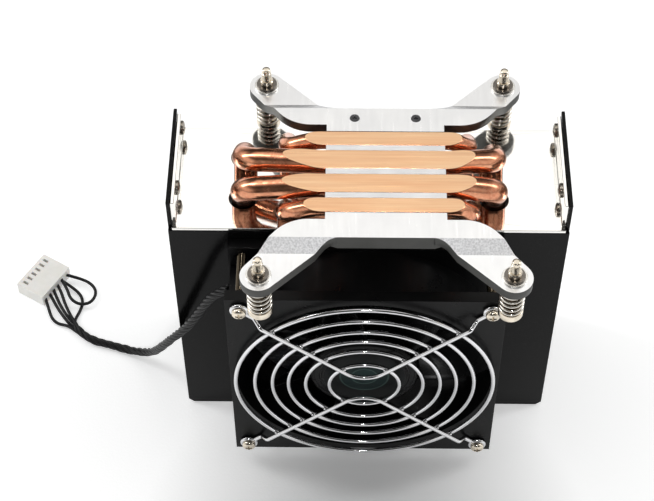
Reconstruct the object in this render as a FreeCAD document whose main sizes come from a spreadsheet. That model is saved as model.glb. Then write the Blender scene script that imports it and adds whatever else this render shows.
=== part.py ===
import FreeCAD, Part
import Sketcher
import math
import os
import re

from FreeCAD import Placement, Rotation, Vector

# A twin-bracket CPU tower cooler, standing upside down on the far end of its tower, so that the
# base and its spring screws face up. X runs across the fan, Y from the fan to the back, Z up.
# The origin is on the floor, under the centre of the base in Y and of the housing in X.

SIZES = {
    # housing
    "housing_width": 132.6, "housing_depth": 44.0, "cover_top": 106.4, "ear_top": 117.8,
    "panel_front": 9.6, "panel_corner": 2.0, "sheet_thick": 1.2, "sheet_gap": 0.15, "flange_height": 10.0,
    "side_screw_front": 13.0, "side_screw_back": 39.4, "side_screw_rise": 5.2, "side_screw_radius": 1.4,
    "side_screw_head": 2.5, "side_head_high": 1.2, "air_opening_radius": 44.0, "back_rim": 9.0,
    # fins
    "fin_thick": 0.4, "fin_pitch": 2.15, "fin_first": 3.0, "fin_inset": 0.6, "fin_top_gap": 2.6,
    # heat pipes
    "inner_radius": 4.0, "outer_radius": 3.0, "inner_row": 5.0, "outer_row": 14.0,
    "inner_axis_drop": 1.4, "outer_axis_drop": 1.0, "inner_leg_span": 41.8, "outer_leg_span": 30.3,
    "outer_leg_shift": 2.9, "inner_leg_row": 8.9, "outer_leg_row": 14.6, "pipe_corner_drop": 5.8,
    "pipe_bend": 8.0, "inner_lean": 0.35, "outer_lean": 0.15, "pipe_turn_rise": 2.5, "pipe_foot": 1.8,
    "pipe_gap": 0.05, "pipe_hole_gap": 0.8, "pipe_straight": 2.5, "block_bend": 5.5,
    # base and mounting
    "base_shift": 5.3, "contact_top": 125.0, "block_width": 39.0, "block_front": 21.5, "block_back": 25.0,
    "block_high": 11.0, "bracket_thick": 3.7, "bracket_drop": 3.3, "bracket_inner": 17.1, "bend_start": 27.2,
    "bend_end": 31.4, "bracket_end_radius": 5.9, "tab_half": 19.4, "tab_step": 19.9, "arm_back_angle": 50.6,
    "arm_front_angle": 43.6, "arm_back_round": 14.0, "arm_front_round": 8.0, "screw_spacing": 80.0,
    "bracket_hole": 2.4, "lip_deep": 2.0, "lip_thick": 1.8, "lip_half": 15.5, "lip_taper": 4.0,
    "bracket_screw_offset": 10.15, "bracket_screw_row": 22.9, "bracket_screw_head": 1.65,
    "bracket_screw_radius": 1.0, "bracket_screw_long": 7.0, "bracket_screw_end": 0.2,
    "sunk_slot_long": 2.0, "sunk_slot_wide": 0.5, "sunk_slot_deep": 0.55,
    # spring screws
    "shank_radius": 2.0, "tip_top": 130.1, "neck_radius": 1.45, "neck_high": 0.8, "collar_radius": 2.2,
    "collar_high": 1.8, "stud_radius": 1.65, "nose_radius": 1.45, "nose_high": 1.5, "nose_round": 0.7,
    "head_radius": 4.1, "head_high": 2.7, "head_bottom": 102.9, "drive_long": 4.6, "drive_wide": 1.0,
    "drive_deep": 1.5, "washer_thick": 0.7, "washer_radius": 4.1, "clip_radius": 3.4, "clip_thick": 0.6,
    "spring_outer": 4.1, "spring_wire": 0.85, "spring_coils": 6.0, "running_gap": 0.1,
    # fan frame
    "fan_width": 92.0, "fan_deep": 25.0, "fan_height": 54.9, "fan_shift": -0.8, "fan_hole_spacing": 82.5,
    "fan_hole_radius": 2.2, "flange_thick": 4.0, "duct_wall": 1.6, "duct_bore": 43.6,
    "cup_radius": 18.4, "cup_deep": 4.5, "cup_wall": 1.4, "cup_floor": 1.5, "cup_inset": 0.3,
    "strut_wide": 3.0, "strut_deep": 3.0, "strut_root": 0.5, "tube_reach": 12.0, "tube_wall": 1.2,
    "tube_floor": 2.0, "press_gap": 0.02,
    # rotor
    "hub_radius": 19.0, "hub_deep": 17.0, "hub_inset": 1.2, "hub_wall": 1.75, "hub_floor": 1.6,
    "label_rim": 5.0, "label_thick": 0.2, "can_wall": 1.0, "can_floor": 0.8, "can_short": 3.0,
    "magnet_wall": 1.35, "magnet_short": 4.4, "rotor_shaft": 1.5, "shaft_short": 6.0,
    "blade_gap": 1.0, "blade_chord": 17.0, "blade_thick": 1.3, "blade_count": 7, "blade_root": 1.4,
    "blade_level": 8.3,
    # stator
    "bearing_outer": 4.0, "bearing_long": 3.5, "bearing_inset": 0.1, "bearing_back": 7.0, "bearing_gap": 0.03,
    "core_reach": 10.0, "core_high": 6.0, "core_sleeve": 1.8, "core_outer": 4.6, "core_inner": 6.4,
    "core_slot": 1.8, "core_arm": 3.0, "core_arm_end": 5.5, "coil_centre": 9.85, "coil_long": 4.6,
    "coil_wide": 6.4, "coil_high": 1.6, "board_rise": 0.4, "board_rim": 2.0, "board_thick": 1.0,
    "board_gap": 0.2,
    # fan screws and finger guard
    "fan_screw_radius": 1.6, "fan_screw_head": 2.35, "fan_screw_high": 1.9, "fan_screw_past": 0.4,
    "fan_slot_long": 2.8, "fan_slot_wide": 0.7, "fan_slot_deep": 1.1, "guard_wire": 0.75,
    "guard_stand": 3.6, "guard_eyelet": 2.45, "guard_apex": 3.0, "weld_depth": 0.12, "eyelet_gap": 0.03,
    "ring_1": 44.0, "ring_2": 37.5, "ring_3": 31.5, "ring_4": 26.0, "ring_5": 20.1, "ring_6": 12.0,
    "stay_straight": 6.5, "stay_crank": 9.5, "stay_bend": 1.5, "stay_apex_bend": 9.0,
    # lead
    "lead_clip_inset": 0.6, "lead_clip_wide": 10.0, "lead_clip_rise": 32.0, "lead_clip_high": 4.5,
    "lead_diameter": 3.6, "wire_diameter": 1.25, "contact_pitch": 2.54,
    "plug_wide": 17.4, "plug_long": 12.6, "plug_high": 5.8, "plug_x": -126.9, "plug_y": 44.6,
    "plug_turn": -31.2, "bore_wide": 1.2, "bore_end": 4.0, "window_start": 1.5, "window_long": 2.4,
    "window_wide": 1.0, "contact_start": 0.8, "contact_short": 5.0, "contact_wide": 0.9,
}

doc = FreeCAD.newDocument("cpu_tower_cooler")
sheet = doc.addObject("Spreadsheet::Sheet", "sizes")
for row, (alias, value) in enumerate(SIZES.items(), 1):
    sheet.set(f"A{row}", alias)
    sheet.set(f"B{row}", str(value))
    sheet.setAlias(f"B{row}", alias)
doc.recompute()

alias_words = re.compile(r"\b(" + "|".join(sorted(SIZES, key=len, reverse=True)) + r")\b")
TURNS = {
    "up": Rotation(),
    "back": Rotation(Vector(1, 0, 0), -90),
    "front": Rotation(Vector(1, 0, 0), 90),
    "right": Rotation(Vector(0, 1, 0), 90),
    "left": Rotation(Vector(0, 1, 0), -90),
}


def cells(text):
    """An expression over the sheet, written with bare alias names."""
    return alias_words.sub(r"sizes.\1", text)


def size(alias):
    return float(sheet.get(alias))


def bound(kind, name, at=("0", "0", "0"), turn="up", **sizes):
    """A Part primitive whose sizes and place are bound to the sheet."""
    piece = doc.addObject(kind, name)
    for prop, text in sizes.items():
        piece.setExpression(prop, cells(text))
    piece.Placement = Placement(Vector(), TURNS[turn])
    for letter, text in zip("xyz", at):
        piece.setExpression(f"Placement.Base.{letter}", cells(text))
    return piece


def box(name, low, dims):
    return bound("Part::Box", name, low, Length=dims[0], Width=dims[1], Height=dims[2])


def rod(name, at, radius, height, turn="up"):
    return bound("Part::Cylinder", name, at, turn, Radius=radius, Height=height)


def fuse(name, pieces):
    joined = doc.addObject("Part::MultiFuse", name)
    joined.Shapes = pieces
    return joined


def cut(name, base, tools):
    trimmed = doc.addObject("Part::Cut", name)
    trimmed.Base = base
    trimmed.Tool = tools[0] if len(tools) == 1 else fuse(name + "_tools", tools)
    return trimmed


def group(name, pieces):
    """Identical separate solids kept in one node."""
    together = doc.addObject("Part::Compound", name)
    together.Links = pieces
    return together


def shaped(name, shape, at=(0, 0, 0)):
    """A node whose shape comes from Part's own functions."""
    piece = doc.addObject("Part::Feature", name)
    piece.Shape = shape
    piece.Placement = Placement(Vector(*at), Rotation())
    return piece


def body_sketch(body, role, name, offset="0"):
    """A sketch on one of the body's own origin planes, moved along the plane's normal."""
    sketch = body.newObject("Sketcher::SketchObject", name)
    plane = [f for f in body.Origin.OriginFeatures if f.Role == role][0]
    sketch.AttachmentSupport = [(plane, "")]
    sketch.MapMode = "FlatFace"
    sketch.setExpression("AttachmentOffset.Base.z", cells(offset))
    return sketch


def closed_outline(sketch, corners):
    """A closed run of straight lines whose corners are bound to the sheet."""
    start = sketch.GeometryCount
    count = len(corners)
    values = [(float(sheet_value(x)), float(sheet_value(y))) for x, y in corners]
    for step in range(count):
        a, b = values[step], values[(step + 1) % count]
        sketch.addGeometry(Part.LineSegment(Vector(a[0], a[1], 0), Vector(b[0], b[1], 0)))
    for step in range(count):
        following = start + (step + 1) % count
        sketch.addConstraint(Sketcher.Constraint("Coincident", start + step, 2, following, 1))
    for step, (x, y) in enumerate(corners):
        for kind, text, value in (("DistanceX", x, values[step][0]), ("DistanceY", y, values[step][1])):
            index = sketch.addConstraint(Sketcher.Constraint(kind, -1, 1, start + step, 1, value))
            sketch.renameConstraint(index, f"{kind}{start + step}")
            sketch.setExpression(f"Constraints.{kind}{start + step}", cells(text))


def round_outline(sketch, x, y, radius):
    """A circle whose centre and radius are bound to the sheet."""
    place = Vector(sheet_value(x), sheet_value(y), 0)
    circle = sketch.addGeometry(Part.Circle(place, Vector(0, 0, 1), sheet_value(radius)))
    bindings = (
        ("DistanceX", Sketcher.Constraint("DistanceX", -1, 1, circle, 3, place.x), x),
        ("DistanceY", Sketcher.Constraint("DistanceY", -1, 1, circle, 3, place.y), y),
        ("Radius", Sketcher.Constraint("Radius", circle, sheet_value(radius)), radius),
    )
    for word, constraint, text in bindings:
        index = sketch.addConstraint(constraint)
        sketch.renameConstraint(index, f"{word}{circle}")
        sketch.setExpression(f"Constraints.{word}{circle}", cells(text))


def sheet_value(text):
    """The present value of an expression over the sheet."""
    return float(sheet.evalExpression(cells(text)))


def pad(body, sketch, length, midplane=False):
    feature = body.newObject("PartDesign::Pad", sketch.Name + "_pad")
    feature.Profile = sketch
    feature.setExpression("Length", cells(length))
    feature.Midplane = midplane
    return feature


def bent_path(points, radii):
    """Straight runs between points, joined by tangent arcs of the given radii."""
    edges = []
    start = points[0]
    for before, corner, after, radius in zip(points, points[1:], points[2:], radii):
        inward = (before - corner).normalize()
        outward = (after - corner).normalize()
        half_turn = (math.pi - inward.getAngle(outward)) / 2
        reach = radius * math.tan(half_turn)
        first = corner + inward * reach
        last = corner + outward * reach
        bisector = (inward + outward).normalize()
        middle = corner + bisector * (radius / math.cos(half_turn) - radius)
        edges.append(Part.LineSegment(start, first).toShape())
        edges.append(Part.Arc(first, middle, last).toShape())
        start = last
    edges.append(Part.LineSegment(start, points[-1]).toShape())
    return Part.Wire(edges)


def tube_on(path, radius):
    """A solid round tube swept along a path, checked against its section times its length."""
    first = path.Edges[0]
    ring = Part.Circle(first.valueAt(first.FirstParameter), first.tangentAt(first.FirstParameter), radius)
    solid = path.makePipeShell([Part.Wire(ring.toShape())], True, False)
    solid = Part.Solid(solid.Shells[0]) if not solid.Solids else solid.Solids[0]
    expected = math.pi * radius ** 2 * path.Length
    if abs(solid.Volume - expected) > 0.02 * expected:
        raise ValueError(f"a tube of radius {radius} has the wrong volume")
    return solid


# ---------------------------------------------------------------- housing
HALF = "housing_width / 2"
FRONT = "-panel_front"
BACK = "(housing_depth - panel_front)"
MIDDLE = "(housing_depth / 2 - panel_front)"
PANEL_TOP = "(cover_top - sheet_thick - sheet_gap)"
INSIDE = "(housing_width / 2 - sheet_thick - sheet_gap)"
FAN_HOLES = [
    (f"fan_shift + {i} * fan_hole_spacing / 2", f"fan_height + {j} * fan_hole_spacing / 2")
    for i in (-1, 1) for j in (-1, 1)
]


def sheet_panel(name, face_y, opening):
    """A flat sheet across the housing, its outer face toward -Y at face_y."""
    body = doc.addObject("PartDesign::Body", name)
    sketch = body_sketch(body, "XZ_Plane", name + "_outline", f"-({face_y}) - sheet_thick")
    corners = [(f"-{HALF}", "panel_corner"), (f"panel_corner - {HALF}", "0"),
               (f"{HALF} - panel_corner", "0"), (HALF, "panel_corner")]
    closed_outline(sketch, corners + [(HALF, PANEL_TOP), (f"-{HALF}", PANEL_TOP)])
    opening(sketch)
    body.Tip = pad(body, sketch, "sheet_thick")
    return body


def fan_opening(sketch):
    round_outline(sketch, "fan_shift", "fan_height", "air_opening_radius")
    for x, z in FAN_HOLES:
        round_outline(sketch, x, z, "fan_screw_radius + running_gap")


def outlet_opening(sketch):
    left, right = f"back_rim - {HALF}", f"{HALF} - back_rim"
    low, high = "back_rim", f"{PANEL_TOP} - back_rim"
    closed_outline(sketch, [(left, low), (right, low), (right, high), (left, high)])


sheet_panel("front_panel", FRONT, fan_opening)
sheet_panel("back_frame", f"{BACK} - sheet_thick", outlet_opening)

SCREW_ROWS = [f"{FRONT} + side_screw_front", f"{FRONT} + side_screw_back"]
SCREW_LEVEL = "cover_top + side_screw_rise"
for name, start in (("left_side_panel", f"-{HALF}"), ("right_side_panel", f"{HALF} - sheet_thick")):
    side = doc.addObject("PartDesign::Body", name)
    outline = body_sketch(side, "YZ_Plane", name + "_outline", start)
    front, back = f"{FRONT} + sheet_thick + sheet_gap", f"{BACK} - sheet_thick - sheet_gap"
    closed_outline(outline, [(front, "0"), (back, "0"), (back, "ear_top"), (front, "ear_top")])
    for y in SCREW_ROWS:
        round_outline(outline, y, SCREW_LEVEL, "side_screw_radius + running_gap")
    side.Tip = pad(side, outline, "sheet_thick")

box("end_cover", (f"-{INSIDE}", f"{FRONT} + sheet_thick + sheet_gap", "0"),
    (f"2 * {INSIDE}", "housing_depth - 2 * (sheet_thick + sheet_gap)", "sheet_thick"))

# The four pipes as (name, radius, base row, axis drop, leg row, leg span, leg shift)
PIPES = [
    ("front_outer_pipe", "outer_radius", "-outer_row", "outer_axis_drop", f"({MIDDLE} - outer_leg_row)",
     "outer_leg_span", "outer_leg_shift"),
    ("front_inner_pipe", "inner_radius", "-inner_row", "inner_axis_drop", f"({MIDDLE} - inner_leg_row)",
     "inner_leg_span", "0"),
    ("back_inner_pipe", "inner_radius", "inner_row", "inner_axis_drop", f"({MIDDLE} + inner_leg_row)",
     "inner_leg_span", "0"),
    ("back_outer_pipe", "outer_radius", "outer_row", "outer_axis_drop", f"({MIDDLE} + outer_leg_row)",
     "outer_leg_span", "outer_leg_shift"),
]


def leg_holes(name, low, height, gap):
    return [
        rod(f"{name}_{pipe}_{i + 1}", (f"{shift} + {i} * {span}", row, low), f"{radius} + {gap}", height)
        for pipe, radius, base_row, drop, row, span, shift in PIPES for i in (-1, 1)
    ]


cover_sheet = box("cover_sheet", (f"-{INSIDE}", FRONT, "cover_top - sheet_thick"),
                  (f"2 * {INSIDE}", "housing_depth", "sheet_thick"))
cover_sides = [
    box(f"cover_side_{word}", (x, f"{FRONT} + 2 * sheet_thick", "cover_top - sheet_thick"),
        ("sheet_thick", "housing_depth - 4 * sheet_thick", "flange_height + sheet_thick"))
    for word, x in (("left", f"-{INSIDE}"), ("right", f"{INSIDE} - sheet_thick"))
]
side_bores = [
    rod(f"side_bore_{row}", (f"-{HALF}", y, SCREW_LEVEL), "side_screw_radius + running_gap",
        "housing_width", "right")
    for row, y in enumerate(SCREW_ROWS)
]
cut("cover_plate", fuse("cover_blank", [cover_sheet] + cover_sides),
    leg_holes("cover_hole", "cover_top - 2 * sheet_thick", "3 * sheet_thick", "pipe_hole_gap") + side_bores)

side_screws = []
for word, inner in (
    ("left", f"side_head_high - ({INSIDE} - sheet_thick)"),
    ("right", f"({INSIDE} - sheet_thick) - side_head_high"),
):
    for row, y in enumerate(SCREW_ROWS):
        place = (inner, y, SCREW_LEVEL)
        head = rod(f"side_head_{word}_{row}", place, "side_screw_head", "side_head_high", word)
        shank = rod(f"side_shank_{word}_{row}", place, "side_screw_radius",
                    "side_head_high + 2 * sheet_thick + sheet_gap", word)
        side_screws.append(fuse(f"side_screw_{word}_{row}", [head, shank]))
group("side_screws", side_screws)

# ---------------------------------------------------------------- fin stack
fin_blank = box("fin_blank", (f"-{INSIDE} + fin_inset", f"{FRONT} + sheet_thick + fin_inset", "fin_first"),
                (f"2 * ({INSIDE} - fin_inset)", "housing_depth - 2 * (sheet_thick + fin_inset)", "fin_thick"))
one_fin = cut("one_fin", fin_blank,
              leg_holes("fin_hole", "fin_first - fin_thick", "3 * fin_thick", "pipe_gap"))
doc.recompute()
fin_room = sheet_value(f"{PANEL_TOP} - fin_top_gap - fin_first - fin_thick")
fin_count = int(fin_room // size("fin_pitch")) + 1
fins = [one_fin.Shape.translated(Vector(0, 0, size("fin_pitch") * step)) for step in range(fin_count)]
shaped("fin_stack", Part.makeCompound(fins))

# ---------------------------------------------------------------- heat pipes
base_left = sheet_value("base_shift - block_width / 2 - pipe_straight")
base_right = sheet_value("base_shift + block_width / 2 + pipe_straight")
leg_bend, block_bend = size("pipe_bend"), size("block_bend")
bends = [leg_bend, leg_bend, block_bend, block_bend, leg_bend, leg_bend]
for name, radius, base_row, drop, row, span, shift in PIPES:
    row_y, leg_y = sheet_value(base_row), sheet_value(row)
    axis_z = sheet_value(f"contact_top - {drop}")
    lean = size("inner_lean") if "inner" in name else size("outer_lean")
    corner_y = row_y + lean * (leg_y - row_y)
    legs = []
    for side, base_end in ((-1, base_left), (1, base_right)):
        leg_x = sheet_value(f"{shift} + {side} * {span}")
        legs.append([
            Vector(base_end, row_y, axis_z),
            Vector(leg_x, corner_y, axis_z - size("pipe_corner_drop")),
            Vector(leg_x, leg_y, sheet_value("cover_top + pipe_turn_rise")),
            Vector(leg_x, leg_y, size("pipe_foot")),
        ])
    route = legs[0][::-1] + legs[1]
    round_pipe = tube_on(bent_path(route, bends), sheet_value(radius))
    width, depth = size("housing_width"), size("housing_depth")
    milled = Part.makeBox(width, depth, depth, Vector(-width / 2, -depth / 2, size("contact_top")))
    shaped(name, round_pipe.cut(milled))

# ---------------------------------------------------------------- base block
BLOCK_LOW = "contact_top - block_high"
block_slab = box("block_slab", ("base_shift - block_width / 2", "-block_front", BLOCK_LOW),
                 ("block_width", "block_front + block_back",
                  "block_high - bracket_thick - running_gap / 2"))
block_land = box("block_land", ("base_shift - block_width / 2", "-outer_row", BLOCK_LOW),
                 ("block_width", "2 * outer_row", "block_high"))
grooves = [
    rod(f"groove_{pipe}", ("base_shift - block_width", base_row, f"contact_top - {drop}"),
        f"{radius} + pipe_gap", "2 * block_width", "right")
    for pipe, radius, base_row, drop, row, span, shift in PIPES
]
SCREW_OFFSETS = [f"base_shift + {i} * bracket_screw_offset" for i in (-1, 1)]
block_taps = [
    rod(f"block_tap_{i}", (x, "bracket_screw_row", BLOCK_LOW), "bracket_screw_radius + pipe_gap",
        "block_high")
    for i, x in enumerate(SCREW_OFFSETS)
]
cut("base_block", fuse("block_blank", [block_slab, block_land]), grooves + block_taps)

# ---------------------------------------------------------------- clip brackets
SPRING_SCREWS = {
    "front_left": (-1, -1), "front_right": (1, -1), "back_left": (-1, 1), "back_right": (1, 1),
}


def bracket_arm_outline():
    """One half of the bracket seen from above, u across and v outward from the base's centre."""
    spacing, end = size("screw_spacing") / 2, size("bracket_end_radius")
    back_angle, front_angle = math.radians(size("arm_back_angle")), math.radians(size("arm_front_angle"))
    back_way = Vector(math.cos(back_angle), math.sin(back_angle))
    front_way = Vector(math.cos(front_angle), math.sin(front_angle))
    back_touch = Vector(spacing, spacing) + Vector(back_way.y, -back_way.x) * end
    front_touch = Vector(spacing, spacing) + Vector(-front_way.y, front_way.x) * end
    step, start = size("tab_step"), size("bend_start")
    back_corner = back_touch - back_way * ((back_touch.y - step) / back_way.y)
    front_corner = front_touch - front_way * ((front_touch.y - start) / front_way.y)
    half, inner = size("tab_half"), size("bracket_inner")
    return [
        Vector(0, inner), Vector(half, inner), Vector(half, step), back_corner, back_touch,
        Vector(spacing, spacing), front_touch, front_corner, Vector(0, start),
    ]


def rounded_face(points, rounds):
    """A closed outline with some corners rounded by tangent arcs."""
    edges = []
    count = len(points)
    ends = []
    for i, point in enumerate(points):
        before, after = points[i - 1], points[(i + 1) % count]
        radius = rounds.get(i, 0)
        if not radius:
            ends.append((point, point))
            continue
        inward, outward = (before - point).normalize(), (after - point).normalize()
        half_turn = (math.pi - inward.getAngle(outward)) / 2
        reach = radius * math.tan(half_turn)
        middle = point + (inward + outward).normalize() * (radius / math.cos(half_turn) - radius)
        ends.append((point + inward * reach, point + outward * reach))
        edges.append(Part.Arc(ends[-1][0], middle, ends[-1][1]).toShape())
    for i in range(count):
        edges.append(Part.LineSegment(ends[i][1], ends[(i + 1) % count][0]).toShape())
    return Part.Face(Part.Wire(Part.__sortEdges__(edges)))


def bracket(name, side):
    """A cranked aluminium plate: bent profile along X, trimmed from above, with a lip at its outer edge."""
    profile = doc.addObject("PartDesign::Body", name + "_profile")
    sketch = body_sketch(profile, "YZ_Plane", name + "_bend", "base_shift")
    top, low = "contact_top", "(contact_top - bracket_drop)"
    edge = "(screw_spacing / 2 + bracket_end_radius)"
    upper = [("bracket_inner", top), ("bend_start", top), ("bend_end", low), (edge, low)]
    lower = [(y, f"{z} - bracket_thick") for y, z in upper[::-1]]
    closed_outline(sketch, [(f"{side} * {y}", z) for y, z in upper + lower])
    profile.Tip = pad(profile, sketch, "2 * screw_spacing", midplane=True)
    arm = bracket_arm_outline()
    face = rounded_face(arm, {3: size("arm_back_round"), 7: size("arm_front_round")})
    low_z = sheet_value(f"{low} - 2 * bracket_thick")
    plate = face.extrude(Vector(0, 0, 4 * size("bracket_thick")))
    spacing = size("screw_spacing") / 2
    pad_end = Part.makeCylinder(size("bracket_end_radius"), 4 * size("bracket_thick"),
                                Vector(spacing, spacing, 0))
    half = plate.fuse(pad_end)
    whole = half.fuse(half.mirror(Vector(0, 0, 0), Vector(1, 0, 0))).removeSplitter()
    if side < 0:
        whole = whole.mirror(Vector(0, 0, 0), Vector(0, 1, 0))
    outline = shaped(name + "_outline", whole, (size("base_shift"), 0, low_z))
    trimmed = doc.addObject("Part::MultiCommon", name + "_trimmed")
    trimmed.Shapes = [profile, outline]
    lip = doc.addObject("PartDesign::Body", name + "_lip")
    inner_face = "(bend_start - lip_thick)" if side > 0 else "(-bend_start)"
    section = body_sketch(lip, "XZ_Plane", name + "_lip_outline", f"-{inner_face} - lip_thick")
    under = "(contact_top - bracket_thick)"
    wide, narrow = "(lip_half + lip_taper)", "lip_half"
    closed_outline(section, [
        (f"base_shift - {wide}", f"{under} + running_gap"), (f"base_shift - {wide}", under),
        (f"base_shift - {narrow}", f"{under} - lip_deep"), (f"base_shift + {narrow}", f"{under} - lip_deep"),
        (f"base_shift + {wide}", under), (f"base_shift + {wide}", f"{under} + running_gap"),
    ])
    lip.Tip = pad(lip, section, "lip_thick")
    holes = [
        rod(f"{name}_hole_{i + 1}", (f"base_shift + {i} * screw_spacing / 2", f"{side} * screw_spacing / 2",
            f"{low} - 2 * bracket_thick"), "bracket_hole", "4 * bracket_thick")
        for i in (-1, 1)
    ]
    return fuse(name + "_blank", [trimmed, lip]), holes


front_blank, front_holes = bracket("front_clip", -1)
cut("front_bracket", front_blank, front_holes)
back_blank, back_holes = bracket("back_clip", 1)
HEAD_DEPTH = "(bracket_screw_head - bracket_screw_radius)"
for i, x in enumerate(SCREW_OFFSETS):
    back_holes.append(rod(f"sunk_bore_{i}", (x, "bracket_screw_row", "contact_top - 2 * bracket_thick"),
                          "bracket_screw_radius + running_gap", "3 * bracket_thick"))
    back_holes.append(bound("Part::Cone", f"sunk_cone_{i}",
                            (x, "bracket_screw_row", f"contact_top - {HEAD_DEPTH}"),
                            Radius1="bracket_screw_radius + running_gap",
                            Radius2="bracket_screw_head + running_gap", Height=HEAD_DEPTH))
cut("back_bracket", back_blank, back_holes)

bracket_screws = []
HEAD_TOP = "(contact_top - running_gap)"
for i, x in enumerate(SCREW_OFFSETS):
    head = bound("Part::Cone", f"sunk_head_{i}", (x, "bracket_screw_row", f"{HEAD_TOP} - {HEAD_DEPTH}"),
                 Radius1="bracket_screw_radius", Radius2="bracket_screw_head", Height=HEAD_DEPTH)
    shank = rod(f"sunk_shank_{i}", (x, "bracket_screw_row", f"{HEAD_TOP} - bracket_screw_long"),
                "bracket_screw_radius", "bracket_screw_long - bracket_screw_end")
    slots = [
        box(f"sunk_slot_{i}_{turn}",
            (f"{x} - {wide} / 2", f"bracket_screw_row - {deep} / 2", f"{HEAD_TOP} - sunk_slot_deep"),
            (wide, deep, "2 * sunk_slot_deep"))
        for turn, (wide, deep) in enumerate(
            (("sunk_slot_long", "sunk_slot_wide"), ("sunk_slot_wide", "sunk_slot_long")))
    ]
    bracket_screws.append(cut(f"sunk_screw_{i}", fuse(f"sunk_blank_{i}", [head, shank]), slots))
group("bracket_screws", bracket_screws)

# ---------------------------------------------------------------- spring screws
LOW_TOP = "(contact_top - bracket_drop)"
UNDERSIDE = "(contact_top - bracket_drop - bracket_thick)"
NECK_LOW = f"({LOW_TOP} + washer_thick)"
NECK_HIGH = f"({NECK_LOW} + neck_high)"
for word, (i, j) in SPRING_SCREWS.items():
    x, y = f"base_shift + {i} * screw_spacing / 2", f"{j} * screw_spacing / 2"
    head = rod(f"{word}_head", (x, y, "head_bottom"), "head_radius", "head_high")
    shank = rod(f"{word}_shank", (x, y, "head_bottom"), "shank_radius", f"{NECK_LOW} - head_bottom")
    neck = rod(f"{word}_neck", (x, y, "head_bottom"), "neck_radius", f"{NECK_HIGH} + neck_high - head_bottom")
    collar = rod(f"{word}_collar", (x, y, NECK_HIGH), "collar_radius", "collar_high")
    stud = rod(f"{word}_stud", (x, y, NECK_HIGH), "stud_radius", f"tip_top - nose_high - {NECK_HIGH}")
    tip = rod(f"{word}_tip", (x, y, NECK_HIGH), "nose_radius", f"tip_top - nose_round - {NECK_HIGH}")
    nose = bound("Part::Cone", f"{word}_nose", (x, y, "tip_top - nose_round"), Radius1="nose_radius",
                 Radius2="nose_radius - nose_round", Height="nose_round")
    slots = [
        box(f"{word}_slot_{turn}", (f"{x} - {wide} / 2", f"{y} - {deep} / 2", "head_bottom - drive_deep"),
            (wide, deep, "2 * drive_deep"))
        for turn, (wide, deep) in enumerate((("drive_long", "drive_wide"), ("drive_wide", "drive_long")))
    ]
    cut(f"{word}_spring_screw",
        fuse(f"{word}_screw_blank", [head, shank, neck, collar, stud, tip, nose]), slots)

    ring = rod(f"{word}_washer_disc", (x, y, LOW_TOP), "washer_radius", "washer_thick")
    eye = rod(f"{word}_washer_eye", (x, y, f"{LOW_TOP} - 1"), "bracket_hole - running_gap", "washer_thick + 2")
    cut(f"{word}_washer", ring, [eye])

    level = f"{NECK_LOW} + (neck_high - clip_thick) / 2"
    disc = rod(f"{word}_clip_disc", (x, y, level), "clip_radius", "clip_thick")
    mouth = [
        rod(f"{word}_clip_eye", (x, y, f"{level} - 1"), "neck_radius + running_gap", "clip_thick + 2"),
        box(f"{word}_clip_mouth", (f"{x} - neck_radius", y, f"{level} - 1"),
            ("2 * neck_radius", "clip_radius + 1", "clip_thick + 2")),
    ]
    cut(f"{word}_e_clip", disc, mouth)

    wire = size("spring_wire")
    low = sheet_value("head_bottom + head_high") + wire / 2 + size("pipe_gap")
    rise = sheet_value(UNDERSIDE) - wire / 2 - size("pipe_gap") - low
    mean = size("spring_outer") - wire / 2
    helix = Part.makeHelix(rise / size("spring_coils"), rise, mean)
    section = Part.Circle(Vector(mean, 0, 0), Vector(0, 1, 0), wire / 2)
    coil = Part.Wire(helix).makePipeShell([Part.Wire(section.toShape())], True, True)
    shaped(f"{word}_spring", coil, (sheet_value(x), sheet_value(y), low))

# ---------------------------------------------------------------- fan frame
FAN_FRONT = "(-panel_front - fan_deep)"
FAN_SIDE = "fan_width / 2"


def fan_rod(name, front, radius, height, x="fan_shift", z="fan_height"):
    """A cylinder along the fan's axis; front is its distance behind the fan's front face."""
    return rod(name, (x, f"{FAN_FRONT} + {front}", z), radius, height, "back")


flanges = [
    box(f"fan_flange_{i}", (f"fan_shift - {FAN_SIDE}", f"{FAN_FRONT} + {front}", f"fan_height - {FAN_SIDE}"),
        ("fan_width", "flange_thick", "fan_width"))
    for i, front in enumerate(("0", "fan_deep - flange_thick"))
]
duct = fan_rod("fan_duct", "0", "duct_bore + duct_wall", "fan_deep")
bore = fan_rod("fan_bore", "-1", "duct_bore", "fan_deep + 2")
frame_holes = [
    fan_rod(f"fan_hole_{i}", "-1", "fan_hole_radius", "fan_deep + 2", x, z)
    for i, (x, z) in enumerate(FAN_HOLES)
]
ring_frame = cut("fan_ring", fuse("fan_blank", flanges + [duct]), [bore] + frame_holes)
CUP_FRONT = "(fan_deep - cup_deep - cup_inset)"
TUBE_FRONT = "(hub_deep - tube_reach)"
STRUT_FACE = f"{FAN_FRONT} + fan_deep - strut_deep - cup_inset"
STRUT_SPAN = "2 * (duct_bore + strut_root)"
struts = [
    box("fan_strut_across", ("fan_shift - duct_bore - strut_root", STRUT_FACE, "fan_height - strut_wide / 2"),
        (STRUT_SPAN, "strut_deep", "strut_wide")),
    box("fan_strut_up", ("fan_shift - strut_wide / 2", STRUT_FACE, "fan_height - duct_bore - strut_root"),
        ("strut_wide", "strut_deep", STRUT_SPAN)),
]
cup = fan_rod("fan_cup", CUP_FRONT, "cup_radius", "cup_deep")
cup_hollow = fan_rod("fan_cup_hollow", f"{CUP_FRONT} - 1", "cup_radius - cup_wall", "cup_deep - cup_floor + 1")
hub_seat = cut("fan_seat", fuse("fan_spider", struts + [cup]), [cup_hollow])
tube = fan_rod("fan_tube", TUBE_FRONT, "bearing_outer + tube_wall", f"fan_deep - cup_inset - {TUBE_FRONT}")
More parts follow.
